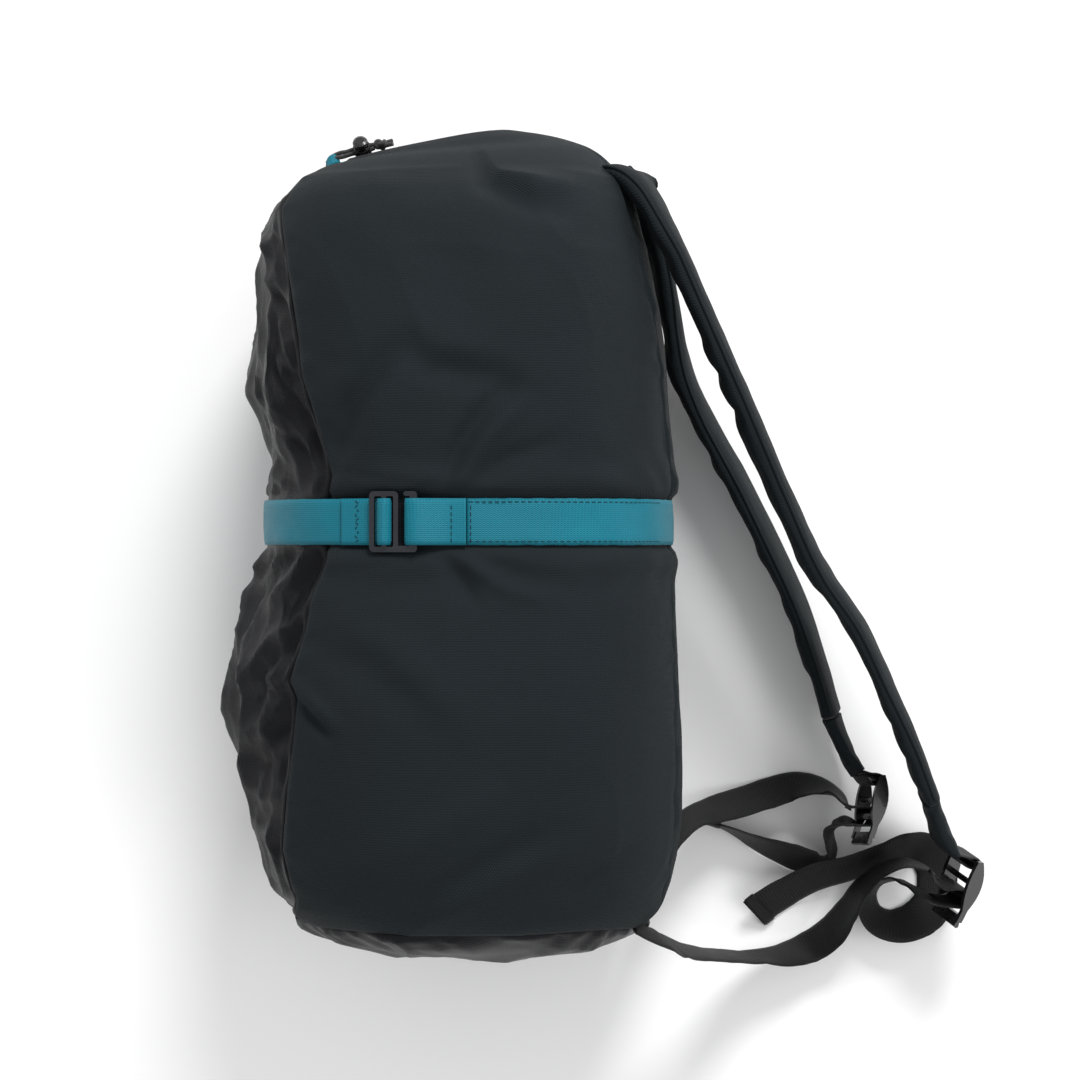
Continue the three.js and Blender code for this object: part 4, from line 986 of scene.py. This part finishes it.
def make_sleeve(side, strap, seed):
    first = strap["pad"][-1]
    route = Route([first] + strap["sleeve"], 1.2)
    u = (route.s / route.length)[:, None]
    a, h, turn = pad_section(SLEEVE_WIDTH, SLEEVE_THICK, 32)
    cuff = 1 + 0.14 * np.exp(-(u / 0.1) ** 2)
    flat = 1 - 0.45 * smoothstep(u, 0.75, 1.0)
    around = np.stack([np.cos(turn)[None, :] + u * 0, np.sin(turn)[None, :] + u * 0,
                       route.s[:, None] / 12 + a[None, :] * 0], -1)
    across = a[None, :] * cuff * (1 + 0.03 * noise(around, 0.7, seed))
    height = h[None, :] * cuff * flat * (1 + 0.14 * noise(around, 0.6, seed + 1))
    sleeve = sweep(f"sleeve_{side}", route, across, height, pad_cloth)
    modify(sleeve, "SUBSURF", levels=1, render_levels=1)
    place(sleeve, f"shoulder_{side}", "ripstop", f"strap_sleeve_{side}")


def make_webbing(side, strap, seed):
    into_lock = [at_lock(strap, LOAD_SLOT, y, 1) for y in (-16, -9.6)]
    run = Route(on_floor(strap["corner"] + strap["run"]) + into_lock, 1.8)
    piece = ribbon(f"adjuster_{side}", run, WEBBING, THICK, black_webbing, seed=seed)
    place(piece, ("sack", f"shoulder_{side}", run.p[12], run.p[-6]), "black_webbing", f"adjuster_run_{side}")
    out_of_lock = [at_lock(strap, TAIL_SLOT, y, -1) for y in (-10.1, -16)]
    tail = Route(out_of_lock + on_floor(strap["tail"]), 1.8)
    piece = ribbon(f"tail_{side}", tail, WEBBING, THICK, black_webbing, seed=seed + 1)
    place(piece, (f"shoulder_{side}", f"lock_{side}", tail.p[14], tail.p[1]), "black_webbing",
          f"adjuster_tail_{side}")


def in_lock(strap, points):
    """Places in the lock's own axes: x along it and y through its thickness."""
    along, thick, _ = lock_axes(strap)
    return [np.array(strap["pivot"]) + along * x + thick * y for x, y in points]


def make_lock_webbing(side, strap):
    along, thick, bars = lock_axes(strap)
    from_pivot = np.array(strap["sleeve"][-1][:3]) - strap["pivot"]
    middle, back = from_pivot @ along, from_pivot @ thick
    loop = Route(in_lock(strap, [
        (middle - 1, back - 1), (-3.2, -5), (-3.2, -1.5), (-2.2, 1.7), (0, 2.7), (2.2, 1.7), (3.2, -1.5),
        (2.6, -5), (middle + 1, back - 1),
    ]), 0.8, sides=bars)
    place(ribbon(f"lock_loop_webbing_{side}", loop, WEBBING, 1.4, black_webbing), f"shoulder_{side}",
          "black_webbing", f"lock_loop_{side}")
    wrap = Route(in_lock(strap, [
        (LOAD_SLOT, -9), (LOAD_SLOT, -4.5), (LOAD_SLOT + 0.4, -1.2), (19.6, 0.6), (22.6, 1), (25.8, 0.1),
        (27.7, -2), (TAIL_SLOT, -5), (TAIL_SLOT, -9.5),
    ]), 0.8, sides=bars)
    bends = (f"shoulder_{side}", f"lock_{side}", wrap.p[0], in_lock(strap, [(26, -5)])[0])
    place(ribbon(f"lock_wrap_{side}", wrap, WEBBING, 1.3, black_webbing), bends, "black_webbing",
          f"adjuster_wrap_{side}")


def make_hem(side, strap):
    """The free end of the webbing, folded over and sewn."""
    end = Route(on_floor(strap["tail"])[-2:], 1.0)
    keep = end.s > end.length - 8
    hem = Route([(*p, 0) for p in end.p[keep][::3]], 1.0, sides=end.side[-1])
    place(ribbon(f"hem_{side}", hem, WEBBING + 0.8, 3.4, black_webbing), f"shoulder_{side}", "black_webbing")


for number, (side, strap) in enumerate(HARNESS.items()):
    make_pad(side, strap, 80 + 10 * number)
    make_sleeve(side, strap, 85 + 10 * number)
    make_webbing(side, strap, 87 + 10 * number)
    make_lock_webbing(side, strap)
    make_hem(side, strap)


# ---------------------------------------------------------------- hardware from the frame
def dressed(node, name, body, slot, material, bevel=0.0, segments=2):
    """The node's own shape with softened edges."""
    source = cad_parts[node]
    piece = bpy.data.objects.new(name, source.data.copy())
    bpy.context.collection.objects.link(piece)
    piece.data.materials.clear()
    piece.data.materials.append(material)
    if bevel:
        modify(piece, "BEVEL", width=bevel * MM, segments=segments, limit_method="ANGLE", angle_limit=0.6)
        modify(piece, "WEIGHTED_NORMAL")
    return place(piece, body, slot, node)


dressed("g_hook", "hook", "hook_end", "hook_metal", hook_metal, 0.5, 3)
for side in HARNESS:
    dressed(f"ladder_lock_{side}", f"lock_{side}_body", f"lock_{side}", "lock_plastic", lock_plastic, 0.5, 3)
dressed("cord_lock_barrel", "toggle_barrel", "cord_lock", "lock_plastic", lock_plastic, 0.35)
dressed("cord_lock_plunger", "toggle_plunger", "cord_plunger", "lock_plastic", lock_plastic, 0.35)

for node, material in {
    "drawcord_loop": cord_cloth,
    "shoulder_foam_right": foam_skin, "shoulder_foam_left": foam_skin,
}.items():
    node_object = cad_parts[node]
    for material_slot in node_object.material_slots:
        material_slot.material = material


# ---------------------------------------------------------------- drawcord
MOUTH = np.array([-42.0, 0, 118])
CHANNEL_R, CHANNEL_HOLE_R, CHANNEL_TOP, CHANNEL_FOOT = 18, 10.5, 203, 191
CORD_R = 1.25
TAB_PLACE, CORD_END = -18.1, 7
OUT_OF_CHANNEL = [(-62.5, 195, 119), (-67.5, 198.5, 122), (-70.6, 203, 126), (-69.6, 207.6, 129.6)]
KNOT_R = 3.8
SPRING_R, SPRING_WIRE, SPRING_TURNS, SPRING_ENDS = 2.3, 0.3, 2.5, (-6.1, -3.0)
LOCK_SPOT = np.array([-51, 213.9, 131])
CORD_ALONG = np.array([0.966, 0.259, 0]) / np.linalg.norm([0.966, 0.259, 0])
PLUNGER_OUT = np.array([-0.13, 0.483, 0.866]) / np.linalg.norm([-0.13, 0.483, 0.866])
CORDS_APART = np.cross(CORD_ALONG, PLUNGER_OUT)


def on_cord(x, y, z):
    """A place by the cord lock: along the cords, out through the plunger, and across the cords."""
    return LOCK_SPOT + CORD_ALONG * x + PLUNGER_OUT * y + CORDS_APART * z


def round_cord(name, points, radius, spacing=0.5, ring=12):
    route = Route([(*p, 0) for p in points], spacing)
    turn = 2 * np.pi * np.arange(ring) / ring
    even = np.ones((len(route.s), 1))
    return route, sweep(name, route, np.cos(turn) * radius * even, np.sin(turn) * radius * even, cord_cloth)


def make_channel():
    """The hem's gathered channel around the mouth, with its pleats."""
    turn = np.radians(np.arange(0, 360, 2.0))
    profile = [(CHANNEL_HOLE_R, CHANNEL_FOOT), (CHANNEL_HOLE_R - 0.5, 197), (CHANNEL_HOLE_R + 1, 202),
               (14, CHANNEL_TOP + 0.8), (CHANNEL_R - 1.5, 202), (CHANNEL_R, 198),
               (CHANNEL_R + 1.5, CHANNEL_FOOT)]
    dense = catmull([(r, y, 0) for r, y in profile], 6)[0]
    r, y = dense[:, :1], dense[:, 1:2]
    ring = np.stack([np.cos(turn), np.sin(turn), turn * 0], -1)[None] * 9 + dense[:, None, :1] * [0, 0, 0.05]
    pleat = noise(ring, 1.0, 66) * 1.6
    x = MOUTH[0] + (r + pleat) * np.cos(turn)
    z = MOUTH[2] + (r + pleat) * np.sin(turn)
    points = np.stack([x, y + pleat * 0.8, z], -1)
    faces = grid_faces(len(dense), len(turn), closed=True)
    uv = np.stack([r * turn, y + 0 * turn], -1).reshape(-1, 2) * MM
    channel = obj_from("channel", points.reshape(-1, 3), faces, thin_nylon, uv)
    modify(channel, "SOLIDIFY", thickness=0.6 * MM, offset=0)
    place(channel, "sack", "thin_nylon", "drawcord_channel")


def make_drawcord():
    wave = [-15, -12, -9, -6, -3, 0, 3, 5, CORD_END]
    knot_middle = CORD_END + KNOT_R
    turn = np.linspace(0, 2 * np.pi, 60)
    knot_path = [on_cord(knot_middle + 0.95 * (math.sin(t) + 2 * math.sin(2 * t)),
                         0.95 * (math.cos(t) - 2 * math.cos(2 * t)), -1.2 * math.sin(3 * t)) for t in turn]
    _, knot = round_cord("knot", knot_path, CORD_R + 0.15)
    place(knot, "sack", "cord", "drawcord_knot")
    for name, sign in (("a", 1), ("b", -1)):
        aside = CORDS_APART * sign * (CORD_R + 0.2)
        points = [np.array(p) + aside for p in OUT_OF_CHANNEL]
        points += [on_cord(x, 0.3 * math.sin(x * 0.8 + sign), 0) + aside for x in wave]
        route, cord = round_cord(f"cord_{name}", points, CORD_R)
        place(cord, "sack", "cord", f"drawcord_tail_{name}")
        end_points = [on_cord(knot_middle + x, 0.4 * x * sign - 0.8, sign * (1 + 0.35 * x))
                      for x in (1, 3, 5, 7)]
        _, end = round_cord(f"cord_end_{name}", end_points, CORD_R)
        place(end, "sack", "cord")


def make_spring():
    """The coil in the cord lock, drawn at one fixed length."""
    turn = np.linspace(0, 2 * np.pi * SPRING_TURNS, 60)
    low, high = SPRING_ENDS
    path = [on_cord(SPRING_R * math.cos(t), low + (high - low) * t / turn[-1], SPRING_R * math.sin(t))
            for t in turn]
    route = Route([(*p, 0) for p in path], 0.3, sides=PLUNGER_OUT)
    ring = 2 * np.pi * np.arange(8) / 8
    even = np.ones((len(route.s), 1)) * SPRING_WIRE
    spring = sweep("spring", route, np.cos(ring) * even, np.sin(ring) * even, spring_steel)
    place(spring, "cord_lock", "spring_steel", "cord_lock_spring")
    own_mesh(spring)


def make_exit_tab():
    """A small folded teal tab under the place where the cords leave the channel."""
    x = TAB_PLACE
    route = Route([on_cord(x - 3.4, -1.5, 3.5), on_cord(x - 1.6, 0.2, 3.2), on_cord(x, 0.9, 2.5),
                   on_cord(x + 2, 0.3, 2), on_cord(x + 3.4, -1.2, 1.6)], 0.6, sides=CORDS_APART)
    place(ribbon("exit_tab", route, 7, 1.4, teal_webbing), "sack", "teal_tab", "cord_exit_tab")


make_channel()
make_drawcord()
make_spring()
make_exit_tab()


# ---------------------------------------------------------------- stage
FLOOR_HALF, FLOOR_Z = 6000, -0.6


def make_stage():
    m = Nodes("floor")
    m.finish(Base_Color=rgb(250, 250, 250), Roughness=0.9, Specular_IOR_Level=0.2)
    corners = [(x * FLOOR_HALF, y * FLOOR_HALF, FLOOR_Z) for x, y in ((-1, -1), (1, -1), (1, 1), (-1, 1))]
    floor = obj_from("floor", corners, [(0, 1, 2, 3)], m.material, smooth=False)
    world = bpy.data.worlds.new("world")
    world.use_nodes = True
    world.node_tree.nodes["Background"].inputs[0].default_value = (1, 1, 1, 1)
    world.node_tree.nodes["Background"].inputs[1].default_value = 0.72
    bpy.context.scene.world = world


def area_light(name, location, target, size, power):
    data = bpy.data.lights.new(name, "AREA")
    data.shape = "DISK"
    data.size = size
    data.energy = power
    light = bpy.data.objects.new(name, data)
    light.location = location
    aim = Vector(target) - Vector(location)
    light.rotation_euler = aim.to_track_quat("-Z", "Y").to_euler()
    bpy.context.collection.objects.link(light)


make_stage()
area_light("key", (0.5, 2.0, 1.7), (0, 0, 0.1), 0.9, 56)
area_light("fill", (1.6, -0.6, 1.6), (0.1, 0, 0.1), 1.6, 12)
